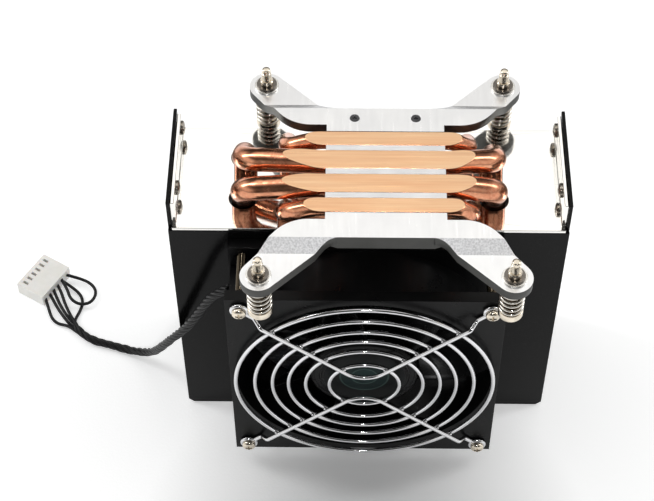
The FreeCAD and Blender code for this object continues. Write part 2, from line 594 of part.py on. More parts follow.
tube_bore = fan_rod("fan_tube_bore", "0", "bearing_outer + press_gap", "fan_deep - tube_floor")
cut("fan_frame", fuse("fan_frame_blank", [ring_frame, hub_seat, tube]), [tube_bore])

# ---------------------------------------------------------------- rotor
hub = cut("hub_cup", fan_rod("hub_outside", "hub_inset", "hub_radius", "hub_deep"),
          [fan_rod("hub_inside", "hub_inset + hub_floor", "hub_radius - hub_wall", "hub_deep")])
doc.recompute()
blade_root = size("hub_radius") - size("blade_root")
blade_reach = size("duct_bore") - size("blade_gap")
blade_tip = math.sqrt(blade_reach ** 2 - (size("blade_chord") / 2) ** 2)


def blade_section(radius, pitch, camber):
    """A thin curved blade section, flat and square to local X at the given radius."""
    chord, thick = size("blade_chord"), size("blade_thick")
    turn = math.radians(pitch)
    rows = []
    for sign, order in ((1, (-1, -0.5, 0, 0.5, 1)), (-1, (1, 0.5, 0, -0.5, -1))):
        for share in order:
            along = share * chord / 2
            off = camber * (1 - share ** 2) + sign * thick / 2
            around = along * math.cos(turn) - off * math.sin(turn)
            axial = along * math.sin(turn) + off * math.cos(turn)
            rows.append(Vector(radius, axial, around))
    return Part.makePolygon(rows + [rows[0]])


# Pitch in degrees and camber in millimetres at the root, the middle and the tip of a blade.
BLADE_TWIST = {"root": (52, 1.4), "middle": (42, 1.8), "tip": (34, 2.0)}
sections = [
    blade_section(blade_root, *BLADE_TWIST["root"]),
    blade_section((blade_root + blade_tip) / 2, *BLADE_TWIST["middle"]),
    blade_section(blade_tip, *BLADE_TWIST["tip"]),
]
blade = Part.makeLoft(sections, True, True)
blade_level = sheet_value(f"{FAN_FRONT} + hub_inset + blade_level")
axis_place = Vector(size("fan_shift"), blade_level, size("fan_height"))
fan_blades = []
for step in range(int(size("blade_count"))):
    turned = blade.copy()
    turned.rotate(Vector(0, 0, 0), Vector(0, 1, 0), 360 * step / size("blade_count"))
    fan_blades.append(turned.translated(axis_place))
shaped("impeller", hub.Shape.fuse(fan_blades).removeSplitter())

CAN_FRONT = "(hub_inset + hub_floor)"
fan_rod("hub_label", "hub_inset - label_thick", "hub_radius - label_rim", "label_thick")
rotor_can = fan_rod("rotor_can_outside", CAN_FRONT, "hub_radius - hub_wall", "hub_deep - can_short")
cut("rotor_can", rotor_can, [
    fan_rod("rotor_can_inside", f"{CAN_FRONT} + can_floor", "hub_radius - hub_wall - can_wall", "hub_deep"),
    fan_rod("rotor_can_eye", "0", "rotor_shaft", "fan_deep"),
])
magnet = fan_rod("magnet_outside", f"{CAN_FRONT} + can_wall", "hub_radius - hub_wall - can_wall",
                 "hub_deep - magnet_short")
cut("magnet_ring", magnet, [
    fan_rod("magnet_inside", "0", "hub_radius - hub_wall - can_wall - magnet_wall", "fan_deep"),
])
fan_rod("shaft", CAN_FRONT, "rotor_shaft", "fan_deep - shaft_short")

# ---------------------------------------------------------------- stator
bearings = []
for i, front in enumerate((f"{TUBE_FRONT} + bearing_inset", "fan_deep - bearing_back")):
    race = fan_rod(f"bearing_race_{i}", front, "bearing_outer", "bearing_long")
    eye = fan_rod(f"bearing_eye_{i}", f"{front} - 1", "rotor_shaft + bearing_gap", "bearing_long + 2")
    bearings.append(cut(f"bearing_{i}", race, [eye]))
group("bearings", bearings)

CORE_FRONT = "(hub_deep - core_reach)"
CORE_FACE = f"{FAN_FRONT} + {CORE_FRONT}"
ARM_SPAN = "(hub_radius - core_arm_end)"
core_sleeve = fan_rod("core_sleeve", CORE_FRONT, "bearing_outer + tube_wall + core_sleeve", "core_high")
core_rim = cut("core_rim", fan_rod("core_rim_outside", CORE_FRONT, "hub_radius - core_outer", "core_high"),
               [fan_rod("core_rim_inside", f"{CORE_FRONT} - 1", "hub_radius - core_inner", "core_high + 2")])
rim_slots = []
for i, (wide, high) in enumerate((("core_slot", "2 * hub_radius"), ("2 * hub_radius", "core_slot"))):
    slot = bound("Part::Box", f"core_slot_{i}", Length=wide, Width="core_high + 2", Height=high)
    quarter = Rotation(Vector(0, 1, 0), 45)
    corner = Vector(sheet_value(wide) / 2, 0, sheet_value(high) / 2)
    centre = Vector(size("fan_shift"), sheet_value(CORE_FACE) - 1, size("fan_height"))
    slot.Placement = Placement(centre - quarter.multVec(corner), quarter)
    rim_slots.append(slot)
core_arms = [
    box("core_arm_across", (f"fan_shift - {ARM_SPAN}", CORE_FACE, "fan_height - core_arm / 2"),
        (f"2 * {ARM_SPAN}", "core_high", "core_arm")),
    box("core_arm_up", ("fan_shift - core_arm / 2", CORE_FACE, f"fan_height - {ARM_SPAN}"),
        ("core_arm", "core_high", f"2 * {ARM_SPAN}")),
]
core_blank = fuse("core_blank", [core_sleeve, cut("core_shoes", core_rim, rim_slots)] + core_arms)
cut("stator_core", core_blank, [fan_rod("core_eye", "0", "bearing_outer + tube_wall", "fan_deep")])

coils = []
for i, (dx, dz) in enumerate(((1, 0), (-1, 0), (0, 1), (0, -1))):
    centre = (f"fan_shift + {dx} * coil_centre", f"fan_height + {dz} * coil_centre")
    wide, tall = ("coil_long", "coil_wide") if dx else ("coil_wide", "coil_long")
    through, beside = "(2 * coil_long)", "(core_arm + 2 * pipe_gap)"
    gap_wide, gap_tall = (through, beside) if dx else (beside, through)
    winding = box(f"coil_block_{i}",
                  (f"{centre[0]} - {wide} / 2", f"{CORE_FACE} - coil_high", f"{centre[1]} - {tall} / 2"),
                  (wide, "core_high + 2 * coil_high", tall))
    window = box(f"coil_window_{i}",
                 (f"{centre[0]} - {gap_wide} / 2", f"{CORE_FACE} - pipe_gap", f"{centre[1]} - {gap_tall} / 2"),
                 (gap_wide, "core_high + 2 * pipe_gap", gap_tall))
    coils.append(cut(f"coil_{i}", winding, [window]))
group("stator_coils", coils)

board = fan_rod("board_disc", f"{CUP_FRONT} + board_rise", "cup_radius - board_rim", "board_thick")
cut("circuit_board", board,
    [fan_rod("board_eye", "0", "bearing_outer + tube_wall + board_gap", "fan_deep")])

# ---------------------------------------------------------------- fan screws and finger guard
fan_screws = []
SCREW_FACE = "(-2 * guard_wire - running_gap)"
for i, (x, z) in enumerate(FAN_HOLES):
    head = fan_rod(f"fan_head_{i}", f"{SCREW_FACE} - fan_screw_high", "fan_screw_head", "fan_screw_high", x, z)
    shank = fan_rod(f"fan_shank_{i}", SCREW_FACE, "fan_screw_radius",
                    f"fan_deep + sheet_thick + fan_screw_past - {SCREW_FACE}", x, z)
    slots = [
        box(f"fan_slot_{i}_{turn}",
            (f"{x} - {wide} / 2", f"{FAN_FRONT} + {SCREW_FACE} - fan_screw_high - fan_slot_deep",
             f"{z} - {tall} / 2"),
            (wide, "2 * fan_slot_deep", tall))
        for turn, (wide, tall) in enumerate(
            (("fan_slot_long", "fan_slot_wide"), ("fan_slot_wide", "fan_slot_long")))
    ]
    fan_screws.append(cut(f"fan_screw_{i}", fuse(f"fan_screw_blank_{i}", [head, shank]), slots))
group("fan_screws", fan_screws)

STAY_FRONT = "(-guard_stand)"
RING_LEVEL = f"{FAN_FRONT} + {STAY_FRONT} + 2 * guard_wire - weld_depth"
guard_rings = [
    bound("Part::Torus", f"guard_{word}", ("fan_shift", RING_LEVEL, "fan_height"), "back",
          Radius1=word, Radius2="guard_wire")
    for word in ("ring_1", "ring_2", "ring_3", "ring_4", "ring_5", "ring_6")
]
group("guard_rings", guard_rings)

eyelet_y = sheet_value(f"{FAN_FRONT} - guard_wire - eyelet_gap")
stay_y = sheet_value(f"{FAN_FRONT} + {STAY_FRONT}")
fan_centre = Vector(size("fan_shift"), 0, size("fan_height"))
stays = []
for up in (1, -1):
    apex = fan_centre + Vector(0, stay_y, up * size("guard_apex"))
    arms = []
    for side in (-1, 1):
        corner = fan_centre + Vector(side, 0, up) * (size("fan_hole_spacing") / 2)
        toward = (fan_centre + Vector(0, 0, up * size("guard_apex")) - corner).normalize()
        arms.append([
            corner + toward * size("guard_eyelet") + Vector(0, eyelet_y, 0),
            corner + toward * size("stay_straight") + Vector(0, eyelet_y, 0),
            corner + toward * size("stay_crank") + Vector(0, stay_y, 0),
        ])
    route = arms[0] + [apex] + arms[1][::-1]
    crank, top_bend = size("stay_bend"), size("stay_apex_bend")
    stay = tube_on(bent_path(route, [crank, crank, top_bend, crank, crank]), size("guard_wire"))
    for side in (-1, 1):
        corner = fan_centre + Vector(side, 0, up) * (size("fan_hole_spacing") / 2)
        eyelet_place = corner + Vector(0, eyelet_y, 0)
        eyelet = Part.makeTorus(size("guard_eyelet"), size("guard_wire"), eyelet_place, Vector(0, 1, 0))
        stay = stay.fuse(eyelet)
    stays.append(stay)
shaped("guard_stays", Part.makeCompound(stays))

# ---------------------------------------------------------------- fan lead and plug
box("lead_clip", ("fan_shift - fan_width / 2 + lead_clip_inset", f"{FAN_FRONT} + flange_thick",
                  "fan_height + lead_clip_rise"),
    ("lead_clip_wide", "fan_deep - 2 * flange_thick", "lead_clip_high"))

# Routes of the free lead and its single wires, each point chosen by hand.
LEAD_ROUTE = [
    (-46.0, -21.5, 89.2), (-51.6, -19.5, 83.5), (-56.5, -17.0, 71.5), (-62.0, -15.0, 58.0), (-69.6, -10.0, 42.5),
    (-75.4, -3.0, 26.5), (-80.6, 6.0, 9.5), (-89.0, 11.6, 1.9), (-98.5, 14.8, 1.85), (-107.8, 17.2, 1.85),
    (-114.3, 24.9, 1.85),
]
WIRE_ROUTES = {
    "loop_wire": [(-120.35, 45.1, 2.2), (-115.4, 42.1, 1.4), (-111.2, 38.2, 0.8), (-110.6, 32.6, 0.8),
                  (-113.7, 25.4, 0.96)],
    "middle_wire": [(-121.75, 42.9, 2.9), (-119.3, 38.7, 2.8), (-117.6, 33.2, 2.6), (-113.5, 25.5, 2.19)],
    "side_wire": [(-123.05, 40.8, 2.9), (-121.2, 36.6, 2.9), (-118.6, 31.0, 3.0), (-114.3, 24.8, 2.95)],
    "low_wire": [(-124.35, 38.6, 2.9), (-122.0, 34.6, 2.6), (-119.6, 30.2, 2.3), (-115.05, 24.12, 2.15)],
    "outer_wire": [(-125.65, 36.4, 2.9), (-123.8, 31.6, 1.9), (-122.2, 27.0, 0.9), (-118.6, 24.1, 0.75),
                   (-114.7, 24.4, 0.96)],
    "jumper_wire": [(-119.05, 47.3, 2.9), (-113.6, 45.9, 2.7), (-108.2, 43.6, 2.3), (-105.5, 39.3, 2.1),
                    (-107.2, 34.2, 2.2), (-111.6, 32.9, 2.5), (-115.5, 35.2, 3.1), (-117.3, 40.2, 3.7),
                    (-120.4, 45.1, 3.6)],
}


def cord_radii(points):
    """Each arc as large as its two runs allow."""
    radii = []
    for before, corner, after in zip(points, points[1:], points[2:]):
        turn = (corner - before).getAngle(after - corner)
        shorter = min((corner - before).Length, (after - corner).Length)
        radii.append(0.45 * shorter / math.tan(turn / 2))
    return radii


for name, route, diameter in [("fan_lead", LEAD_ROUTE, "lead_diameter")] + [
        (name, route, "wire_diameter") for name, route in WIRE_ROUTES.items()]:
    points = [Vector(*point) for point in route]
    radii = cord_radii(points)
    path = bent_path(points, radii)
    shaped(name, tube_on(path, size(diameter) / 2))
    print(f"{name}: {path.Length:.1f} mm long, arc radii {[round(radius, 1) for radius in radii]}")

PLUG_PLACE = Placement(Vector(size("plug_x"), size("plug_y"), 0), Rotation(Vector(0, 0, 1), size("plug_turn")))
PITCHES = [step - 2.5 for step in range(6)]
plug_blank = bound("Part::Box", "plug_blank", ("-plug_long / 2", "-plug_wide / 2", "0"),
                   Length="plug_long", Width="plug_wide", Height="plug_high")
plug_cuts = [
    bound("Part::Box", f"plug_bore_{i}",
          ("-plug_long / 2 - 1", f"{step} * contact_pitch - bore_wide / 2", "(plug_high - bore_wide) / 2"),
          Length="plug_long + 1 - bore_end", Width="bore_wide", Height="bore_wide")
    for i, step in enumerate(PITCHES)
] + [
    bound("Part::Box", f"plug_window_{i}",
          ("window_start - plug_long / 2", f"{step} * contact_pitch - window_wide / 2", "plug_high / 2"),
          Length="window_long", Width="window_wide", Height="plug_high")
    for i, step in enumerate(PITCHES)
]
plug = cut("plug_housing", plug_blank, plug_cuts)
plug.Placement = PLUG_PLACE
contacts = [
    bound("Part::Box", f"contact_{i}",
          ("contact_start - plug_long / 2", f"{step} * contact_pitch - contact_wide / 2",
           "(plug_high - contact_wide) / 2"),
          Length="plug_long - contact_short", Width="contact_wide", Height="contact_wide")
    for i, step in enumerate(PITCHES)
]
plug_contacts = group("plug_contacts", contacts)
plug_contacts.Placement = PLUG_PLACE

# ---------------------------------------------------------------- check and write
NODES = [
    "front_panel", "back_frame", "left_side_panel", "right_side_panel", "end_cover", "cover_plate", "side_screws",
    "fin_stack", "base_block", "front_bracket", "back_bracket", "bracket_screws",
    "fan_frame", "impeller", "hub_label", "rotor_can", "magnet_ring", "shaft", "bearings", "stator_core",
    "stator_coils", "circuit_board", "fan_screws", "guard_rings", "guard_stays", "lead_clip", "fan_lead",
    "plug_housing", "plug_contacts",
]
NODES += [pipe[0] for pipe in PIPES] + list(WIRE_ROUTES)
for word in SPRING_SCREWS:
    NODES += [f"{word}_{piece}" for piece in ("spring_screw", "spring", "washer", "e_clip")]

doc.recompute()
for item in doc.Objects:
    if {"Invalid", "Error"} & set(item.State):
        raise ValueError(f"{item.Label} did not compute: {item.State}")
by_label = {item.Label: item for item in doc.Objects}
for node in NODES:
    shape = by_label[node].Shape
    if shape.isNull() or not shape.isValid() or not shape.Solids:
        raise ValueError(f"{node} has no valid solid")

os.makedirs("parts", exist_ok=True)
for node in NODES:
    by_label[node].Shape.exportStep(os.path.join("parts", node + ".step"))
print(f"wrote {len(NODES)} nodes")
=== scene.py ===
import math

import bmesh
import bpy
from mathutils import Matrix, Vector, noise


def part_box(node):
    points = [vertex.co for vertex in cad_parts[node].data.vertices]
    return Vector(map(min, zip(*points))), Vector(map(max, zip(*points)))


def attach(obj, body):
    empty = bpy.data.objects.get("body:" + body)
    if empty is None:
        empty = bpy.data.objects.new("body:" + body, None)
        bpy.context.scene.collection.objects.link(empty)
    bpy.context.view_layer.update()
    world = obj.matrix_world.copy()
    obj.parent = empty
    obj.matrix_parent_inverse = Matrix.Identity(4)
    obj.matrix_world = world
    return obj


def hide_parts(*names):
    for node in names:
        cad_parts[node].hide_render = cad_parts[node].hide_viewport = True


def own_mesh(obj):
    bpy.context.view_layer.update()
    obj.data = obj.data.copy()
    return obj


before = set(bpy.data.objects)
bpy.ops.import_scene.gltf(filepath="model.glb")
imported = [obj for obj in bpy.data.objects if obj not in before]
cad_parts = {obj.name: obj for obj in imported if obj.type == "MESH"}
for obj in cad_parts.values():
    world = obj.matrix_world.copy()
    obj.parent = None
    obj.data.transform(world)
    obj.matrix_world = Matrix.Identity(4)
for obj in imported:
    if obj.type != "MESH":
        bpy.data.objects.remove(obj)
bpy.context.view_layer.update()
millimetre = 0.001

# ------------------------------------------------------------------ table, light and camera
# The cooler stands on a glowing white light table, whose glow is dimmed in a patch in front of the fan as a
# painted shadow, with a bright ceiling behind it, a bright wall on each side and darkness behind the
# camera, whose long lens looks steeply down at the fan side.

scene = bpy.context.scene
scene.view_settings.view_transform = "Standard"


def fresh_material(name):
    """A material with its nodes, and the one shader that every finish is set on."""
    material = bpy.data.materials.new(name)
    material.use_nodes = True
    return material, material.node_tree, material.node_tree.nodes["Principled BSDF"]


def set_shader(shader, **values):
    """Constants on the shader's own sockets, by socket name with _ for a space."""
    for name, value in values.items():
        shader.inputs[name.replace("_", " ")].default_value = value


def add_node(tree, kind, inputs=None, **settings):
    """One node with its settings, its fixed inputs and its incoming links."""
    node = tree.nodes.new(kind)
    for name, value in settings.items():
        setattr(node, name, value)
    for name, value in (inputs or {}).items():
        if isinstance(value, bpy.types.NodeSocket):
            tree.links.new(value, node.inputs[name])
        else:
            node.inputs[name].default_value = value
    return node


def stretched_place(tree, scale):
    """The piece's own coordinates, scaled so that a grain can run one way."""
    place = add_node(tree, "ShaderNodeTexCoord").outputs["Object"]
    return add_node(tree, "ShaderNodeMapping", {"Vector": place, "Scale": scale}).outputs["Vector"]


def grain(tree, scale, place=None, detail=3.0, rough=0.5):
    """A noise from 0 to 1, scale in cells per metre."""
    place = place or stretched_place(tree, (1, 1, 1))
    cells = {"Vector": place, "Scale": scale, "Detail": detail, "Roughness": rough}
    return add_node(tree, "ShaderNodeTexNoise", cells).outputs["Fac"]


def spread(tree, value, low, high, from_low=0.3, from_high=0.7):
    """The value carried from one range to another."""
    limits = {"Value": value, "From Min": from_low, "From Max": from_high, "To Min": low, "To Max": high}
    return add_node(tree, "ShaderNodeMapRange", limits).outputs["Result"]


def blended(tree, share, low, high):
    """Two colours mixed by a share from 0 to 1."""
    mixed = add_node(tree, "ShaderNodeMix", {0: share}, data_type="RGBA")
    for socket, colour in ((6, low), (7, high)):
        if isinstance(colour, bpy.types.NodeSocket):
            tree.links.new(colour, mixed.inputs[socket])
        else:
            mixed.inputs[socket].default_value = (*colour, 1)
    return mixed.outputs[2]


def bumped(tree, shader, height, depth, strength=1.0):
    """Relief on the shader's normal, depth in metres."""
    relief = {"Height": height, "Distance": depth, "Strength": strength}
    tree.links.new(add_node(tree, "ShaderNodeBump", relief).outputs["Normal"], shader.inputs["Normal"])


def glowing_sheet_painted_shadow():
    material, tree, shader = fresh_material("glowing_sheet_painted_shadow")
    set_shader(shader, Base_Color=(0.84, 0.85, 0.86, 1), Roughness=0.75)
    shader.inputs["Emission Color"].default_value = (1, 1, 1, 1)
    # The glow fades to nothing in a patch in front of the fan: a painted shadow of the cooler on the table.
    place = add_node(tree, "ShaderNodeTexCoord").outputs["Object"]
    shade = {"Vector": place, "Location": (0, 0.9, 0), "Scale": (12, 12, 1)}
    away = add_node(tree, "ShaderNodeMapping", shade).outputs["Vector"]
    reach = add_node(tree, "ShaderNodeVectorMath", {0: away}, operation="LENGTH").outputs["Value"]
    tree.links.new(spread(tree, reach, 0.0, 0.42, 0.3, 1.0), shader.inputs["Emission Strength"])
    bumped(tree, shader, grain(tree, 900), 0.00005)
    return material


sheet_half = 6.0
floor_mesh = bpy.data.meshes.new("floor")
floor_corners = [(-sheet_half, -sheet_half, 0), (sheet_half, -sheet_half, 0), (sheet_half, sheet_half, 0),
                 (-sheet_half, sheet_half, 0)]
floor_mesh.from_pydata(floor_corners, [], [(0, 1, 2, 3)])
floor_mesh.materials.append(glowing_sheet_painted_shadow())
floor = bpy.data.objects.new("floor", floor_mesh)
scene.collection.objects.link(floor)


def studio_wall():
    """A dark room with a bright ceiling behind the table and a bright wall on each side."""
    world = bpy.data.worlds.new("studio")
    world.use_nodes = True
    tree = world.node_tree
    direction = add_node(tree, "ShaderNodeTexCoord").outputs["Generated"]
    parts = add_node(tree, "ShaderNodeSeparateXYZ", {0: direction}).outputs
    sideways = add_node(tree, "ShaderNodeMath", {0: parts["X"]}, operation="ABSOLUTE").outputs[0]

    def fade(value, start, full):
        limits = {"Value": value, "From Min": start, "From Max": full}
        smoothed = add_node(tree, "ShaderNodeMapRange", limits, interpolation_type="SMOOTHSTEP")
        return smoothed.outputs["Result"]

    def times(a, b):
        return add_node(tree, "ShaderNodeMath", {0: a, 1: b}, operation="MULTIPLY").outputs[0]

    def plus(a, b):
        return add_node(tree, "ShaderNodeMath", {0: a, 1: b}, operation="ADD").outputs[0]

    ceiling = times(times(fade(parts["Z"], 0.60, 0.76), fade(parts["Y"], -0.35, 0.25)), ceiling_level)
    low_band = times(fade(parts["Z"], -0.05, 0.15), fade(parts["Z"], 0.62, 0.36))
    walls = times(times(fade(sideways, 0.45, 0.85), low_band), wall_level)
    level = plus(plus(ceiling, walls), room_level)
    warm = add_node(tree, "ShaderNodeCombineColor",
                    {0: level, 1: times(level, 0.99), 2: times(level, 0.965)})
    tree.links.new(warm.outputs[0], tree.nodes["Background"].inputs["Color"])
    return world


ceiling_level, wall_level, room_level = 1.22, 0.85, 0.05
scene.world = studio_wall()


def soft_box(name, place, target, size, watts):
    light = bpy.data.lights.new(name, "AREA")
    light.shape, light.size, light.size_y = "RECTANGLE", size[0], size[1]
    light.energy = watts
    lamp = bpy.data.objects.new(name, light)
    lamp.location = place
    lamp.rotation_euler = (Vector(target) - Vector(place)).to_track_quat("-Z", "Y").to_euler()
    scene.collection.objects.link(lamp)


soft_box("small_front_lamp", (0.02, -0.75, 0.95), (0, 0, 0.06), (0.07, 0.07), 1.6)
soft_box("left_strip", (-0.9, 0.25, 0.75), (0, 0, 0.06), (0.25, 0.9), 4.0)
soft_box("right_strip", (0.9, 0.25, 0.7), (0, 0, 0.06), (0.2, 0.8), 3.0)

lens_long, sensor_wide = 97.0, 36.0
camera_place = Vector((-0.00652, -0.36637, 0.56429))
camera_yaw, camera_down, camera_roll = -0.0203, 0.9208, -0.0082
ahead = Vector((math.sin(camera_yaw) * math.cos(camera_down),
                math.cos(camera_yaw) * math.cos(camera_down), -math.sin(camera_down)))
level_right = Vector((math.cos(camera_yaw), -math.sin(camera_yaw), 0))
level_up = level_right.cross(ahead)
right = math.cos(camera_roll) * level_right + math.sin(camera_roll) * level_up
up = math.cos(camera_roll) * level_up - math.sin(camera_roll) * level_right
lens = bpy.data.cameras.new("camera")
lens.lens, lens.sensor_width = lens_long, sensor_wide
lens.clip_start, lens.clip_end = 0.01, 50
camera = bpy.data.objects.new("camera", lens)
camera.matrix_world = Matrix.LocRotScale(camera_place, Matrix((right, up, -ahead)).transposed(), None)
scene.collection.objects.link(camera)
scene.camera = camera

# ------------------------------------------------------------------ fan lead
# Five thin stranded wires twisted into one lead, PVC insulated. It leaves a clip in the fan's side,
# hangs to the table and fans out into the plug, with one more short wire looped between two ways.

strand_radius = 1.25 / 2 * millimetre
twist_radius = 1.16 * millimetre
twist_length = 17 * millimetre
lead_route = [
    (-0.0460, -0.0215, 0.0892), (-0.0516, -0.0195, 0.0835), (-0.0565, -0.0170, 0.0715),
    (-0.0620, -0.0150, 0.0580), (-0.0696, -0.0100, 0.0425), (-0.0754, -0.0030, 0.0265),
    (-0.0806, 0.0060, 0.0095), (-0.0890, 0.0116, 0.0019), (-0.0985, 0.0148, 0.00185),
    (-0.1078, 0.0172, 0.00185), (-0.1143, 0.0249, 0.00185),
]
# Each wire's route from the end of the twist to the plug, and where round the twist it leaves.
wire_routes = {
    "loop_wire": (-129, [(-0.1137, 0.0254, 0.00096), (-0.1106, 0.0326, 0.0008), (-0.1112, 0.0382, 0.0008),
                         (-0.1154, 0.0421, 0.0014), (-0.12035, 0.0451, 0.0022)]),
    "middle_wire": (159, [(-0.1135, 0.0255, 0.00219), (-0.1176, 0.0332, 0.0026), (-0.1193, 0.0387, 0.0028),
                          (-0.12175, 0.0429, 0.0029)]),
    "side_wire": (87, [(-0.1143, 0.0248, 0.00295), (-0.1186, 0.0310, 0.0030), (-0.1212, 0.0366, 0.0029),
                       (-0.12305, 0.0408, 0.0029)]),
    "low_wire": (15, [(-0.11505, 0.02412, 0.00215), (-0.1196, 0.0302, 0.0023), (-0.1220, 0.0346, 0.0026),
                      (-0.12435, 0.0386, 0.0029)]),
    "outer_wire": (-57, [(-0.1147, 0.0244, 0.00096), (-0.1186, 0.0241, 0.00075), (-0.1222, 0.0270, 0.0009),
                         (-0.1238, 0.0316, 0.0019), (-0.12565, 0.0364, 0.0029)]),
}
jumper_route = [
    (-0.11905, 0.0473, 0.0029), (-0.1136, 0.0459, 0.0027), (-0.1082, 0.0436, 0.0023),
    (-0.1055, 0.0393, 0.0021), (-0.1072, 0.0342, 0.0022), (-0.1116, 0.0329, 0.0025),
    (-0.1155, 0.0352, 0.0031), (-0.1173, 0.0402, 0.0037),
    (-0.1204, 0.0451, 0.0036),
]


def spline_through(name, route):
    """A NURBS curve with the route's points as its control points."""
    curve = bpy.data.curves.new(name, "CURVE")
    curve.dimensions = "3D"
    curve.resolution_u = 16
    spline = curve.splines.new("NURBS")
    spline.points.add(len(route) - 1)
    for point, place in zip(spline.points, route):
        point.co = (*place, 1)
    spline.order_u = 3
    spline.use_endpoint_u = True
    return curve


def line_of(name, route):
    """Points along the route's own spline."""
    holder = bpy.data.objects.new(name + "_line", spline_through(name + "_line", route))
    mesh = bpy.data.meshes.new_from_object(holder)
    line = [vertex.co.copy() for vertex in mesh.vertices]
    bpy.data.meshes.remove(mesh)
    bpy.data.curves.remove(holder.data)
    return line


def length_of(line):
    return sum((b - a).length for a, b in zip(line, line[1:]))


def evenly(line, step):
    """The same line with points about step apart."""
    total = length_of(line)
    count = max(2, round(total / step))
    points, passed, index = [line[0]], 0.0, 0
    for k in range(1, count):
        target = total * k / count
        while passed + (line[index + 1] - line[index]).length < target:
            passed += (line[index + 1] - line[index]).length
            index += 1
        run = line[index + 1] - line[index]
        points.append(line[index] + run * ((target - passed) / run.length))
    return points + [line[-1]]


def tangents(line, closed=False):
    if closed:
        return [(line[(i + 1) % len(line)] - line[i - 1]).normalized() for i in range(len(line))]
    ends = [line[0]] + line + [line[-1]]
    return [(after - before).normalized() for before, after in zip(ends, ends[2:])]


def mesh_piece(name, mesh, material, body, smooth=True):
    """Puts a finished mesh in the scene, riding on its CAD body."""
    piece = bpy.data.objects.new(name, mesh)
    mesh.materials.append(material)
    for face in mesh.polygons:
        face.use_smooth = smooth
    scene.collection.objects.link(piece)
    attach(piece, body)
    return piece


def sweep_into(bm, line, radius, sides, closed=False):
    """A round tube along a line, its ring frames carried along without twist."""
    along = tangents(line, closed)
    side = along[0].orthogonal().normalized()
    rings = []
    for place, tangent in zip(line, along):
        side = (side - tangent * side.dot(tangent)).normalized()
        other = tangent.cross(side)
        turns = [math.tau * k / sides for k in range(sides)]
        rings.append([bm.verts.new(place + (side * math.cos(a) + other * math.sin(a)) * radius)
                      for a in turns])
    if closed:
        first, last = rings[0], rings[-1]
        offset = min(range(sides), key=lambda k: (last[0].co - first[k].co).length)
        pairs = list(zip(rings, rings[1:])) + [(last, first[offset:] + first[:offset])]
    else:
        pairs = list(zip(rings, rings[1:]))
        bm.faces.new(rings[0][::-1])
        bm.faces.new(rings[-1])
    for lower, upper in pairs:
        for k in range(sides):
            following = (k + 1) % sides
            bm.faces.new((lower[k], lower[following], upper[following], upper[k]))
    return rings


def mesh_from(bm, name):
    bmesh.ops.recalc_face_normals(bm, faces=bm.faces)
    mesh = bpy.data.meshes.new(name)
    bm.to_mesh(mesh)
    bm.free()
    return mesh


def wire_insulation():
    """Black PVC: a little shiny, faintly uneven, with dust in it."""
    material, tree, shader = fresh_material("wire_insulation")
    set_shader(shader, Roughness=0.4, Specular_IOR_Level=0.22)
    worn = spread(tree, grain(tree, 700), 0, 1)
    tree.links.new(blended(tree, worn, (0.006, 0.006, 0.007), (0.014, 0.014, 0.014)),
                   shader.inputs["Base Color"])
    bumped(tree, shader, grain(tree, 2600), 0.00003)
    return material


insulation = wire_insulation()
lead_line = evenly(line_of("lead", lead_route), 0.7 * millimetre)
lead_length = length_of(lead_line)
lead_tangents = tangents(lead_line)
side_ways = [Vector((0, 0, 1)).cross(lead_tangents[-1]).normalized()]
for tangent in lead_tangents[-2::-1]:
    side_ways.append((side_ways[-1] - tangent * side_ways[-1].dot(tangent)).normalized())
side_ways.reverse()


def strand_line(leaving_angle, wire_line):
    """Round the twist with the other wires, then off along the wire's own route."""
    left = lead_length
    twisted = []
    for i, (place, tangent, side) in enumerate(zip(lead_line, lead_tangents, side_ways)):
        if i:
            left -= (place - lead_line[i - 1]).length
        angle = math.radians(leaving_angle) + math.tau * left / twist_length
        loose = 1 + 0.10 * math.sin(left * 190 + leaving_angle)
        across = side * math.cos(angle) + tangent.cross(side) * -math.sin(angle)
        twisted.append(place + across * twist_radius * loose)
    joined = twisted[:-2] + wire_line[3:]
    for _ in range(12):
        middle = [(a + 2 * b + c) / 4 for a, b, c in zip(joined, joined[1:], joined[2:])]
        joined = [joined[0]] + middle + [joined[-1]]
    return joined


def insulated_wire(name, line, replaced, **facts):
    bm = bmesh.new()
    sweep_into(bm, line, strand_radius, 14)
    wire = mesh_piece(name, mesh_from(bm, name), insulation, "cooler")
    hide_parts(*replaced)
    return wire


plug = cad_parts["plug_housing"]
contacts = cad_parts["plug_contacts"]
for count, (name, (leaving_angle, route)) in enumerate(wire_routes.items()):
    line = strand_line(leaving_angle, evenly(line_of(name, route), 0.5 * millimetre))
    replaced = ["fan_lead", name] if count == 0 else [name]
    insulated_wire("twisted_" + name, line, replaced, with_pieces=[plug, contacts])
insulated_wire("short_jumper_wire", evenly(line_of("jumper", jumper_route), 0.5 * millimetre),
               ["jumper_wire"],
               with_pieces=[plug, contacts])

# ------------------------------------------------------------------ housing sheets
# Front, back, sides and far end are pressed steel 1.2 mm thick, folded and coated gloss black.
# The sides stand up past the base as two ears, and the coating has settled dust and fine scuffs.

edge_round = 0.22 * millimetre


def coated_black():
    material, tree, shader = fresh_material("coated_black")
    set_shader(shader, Specular_IOR_Level=0.1)
    dust = spread(tree, grain(tree, 2400, detail=0.5), 0, 1, 0.71, 0.78)
    smear = spread(tree, grain(tree, 38, detail=5), 0, 1, 0.45, 0.75)
    tree.links.new(blended(tree, dust, (0.0028, 0.0028, 0.003), (0.045, 0.045, 0.047)),
                   shader.inputs["Base Color"])
    tree.links.new(spread(tree, smear, 0.15, 0.27, 0, 1), shader.inputs["Roughness"])
    bumped(tree, shader, grain(tree, 520, detail=1), 0.00002, 0.6)
    return material


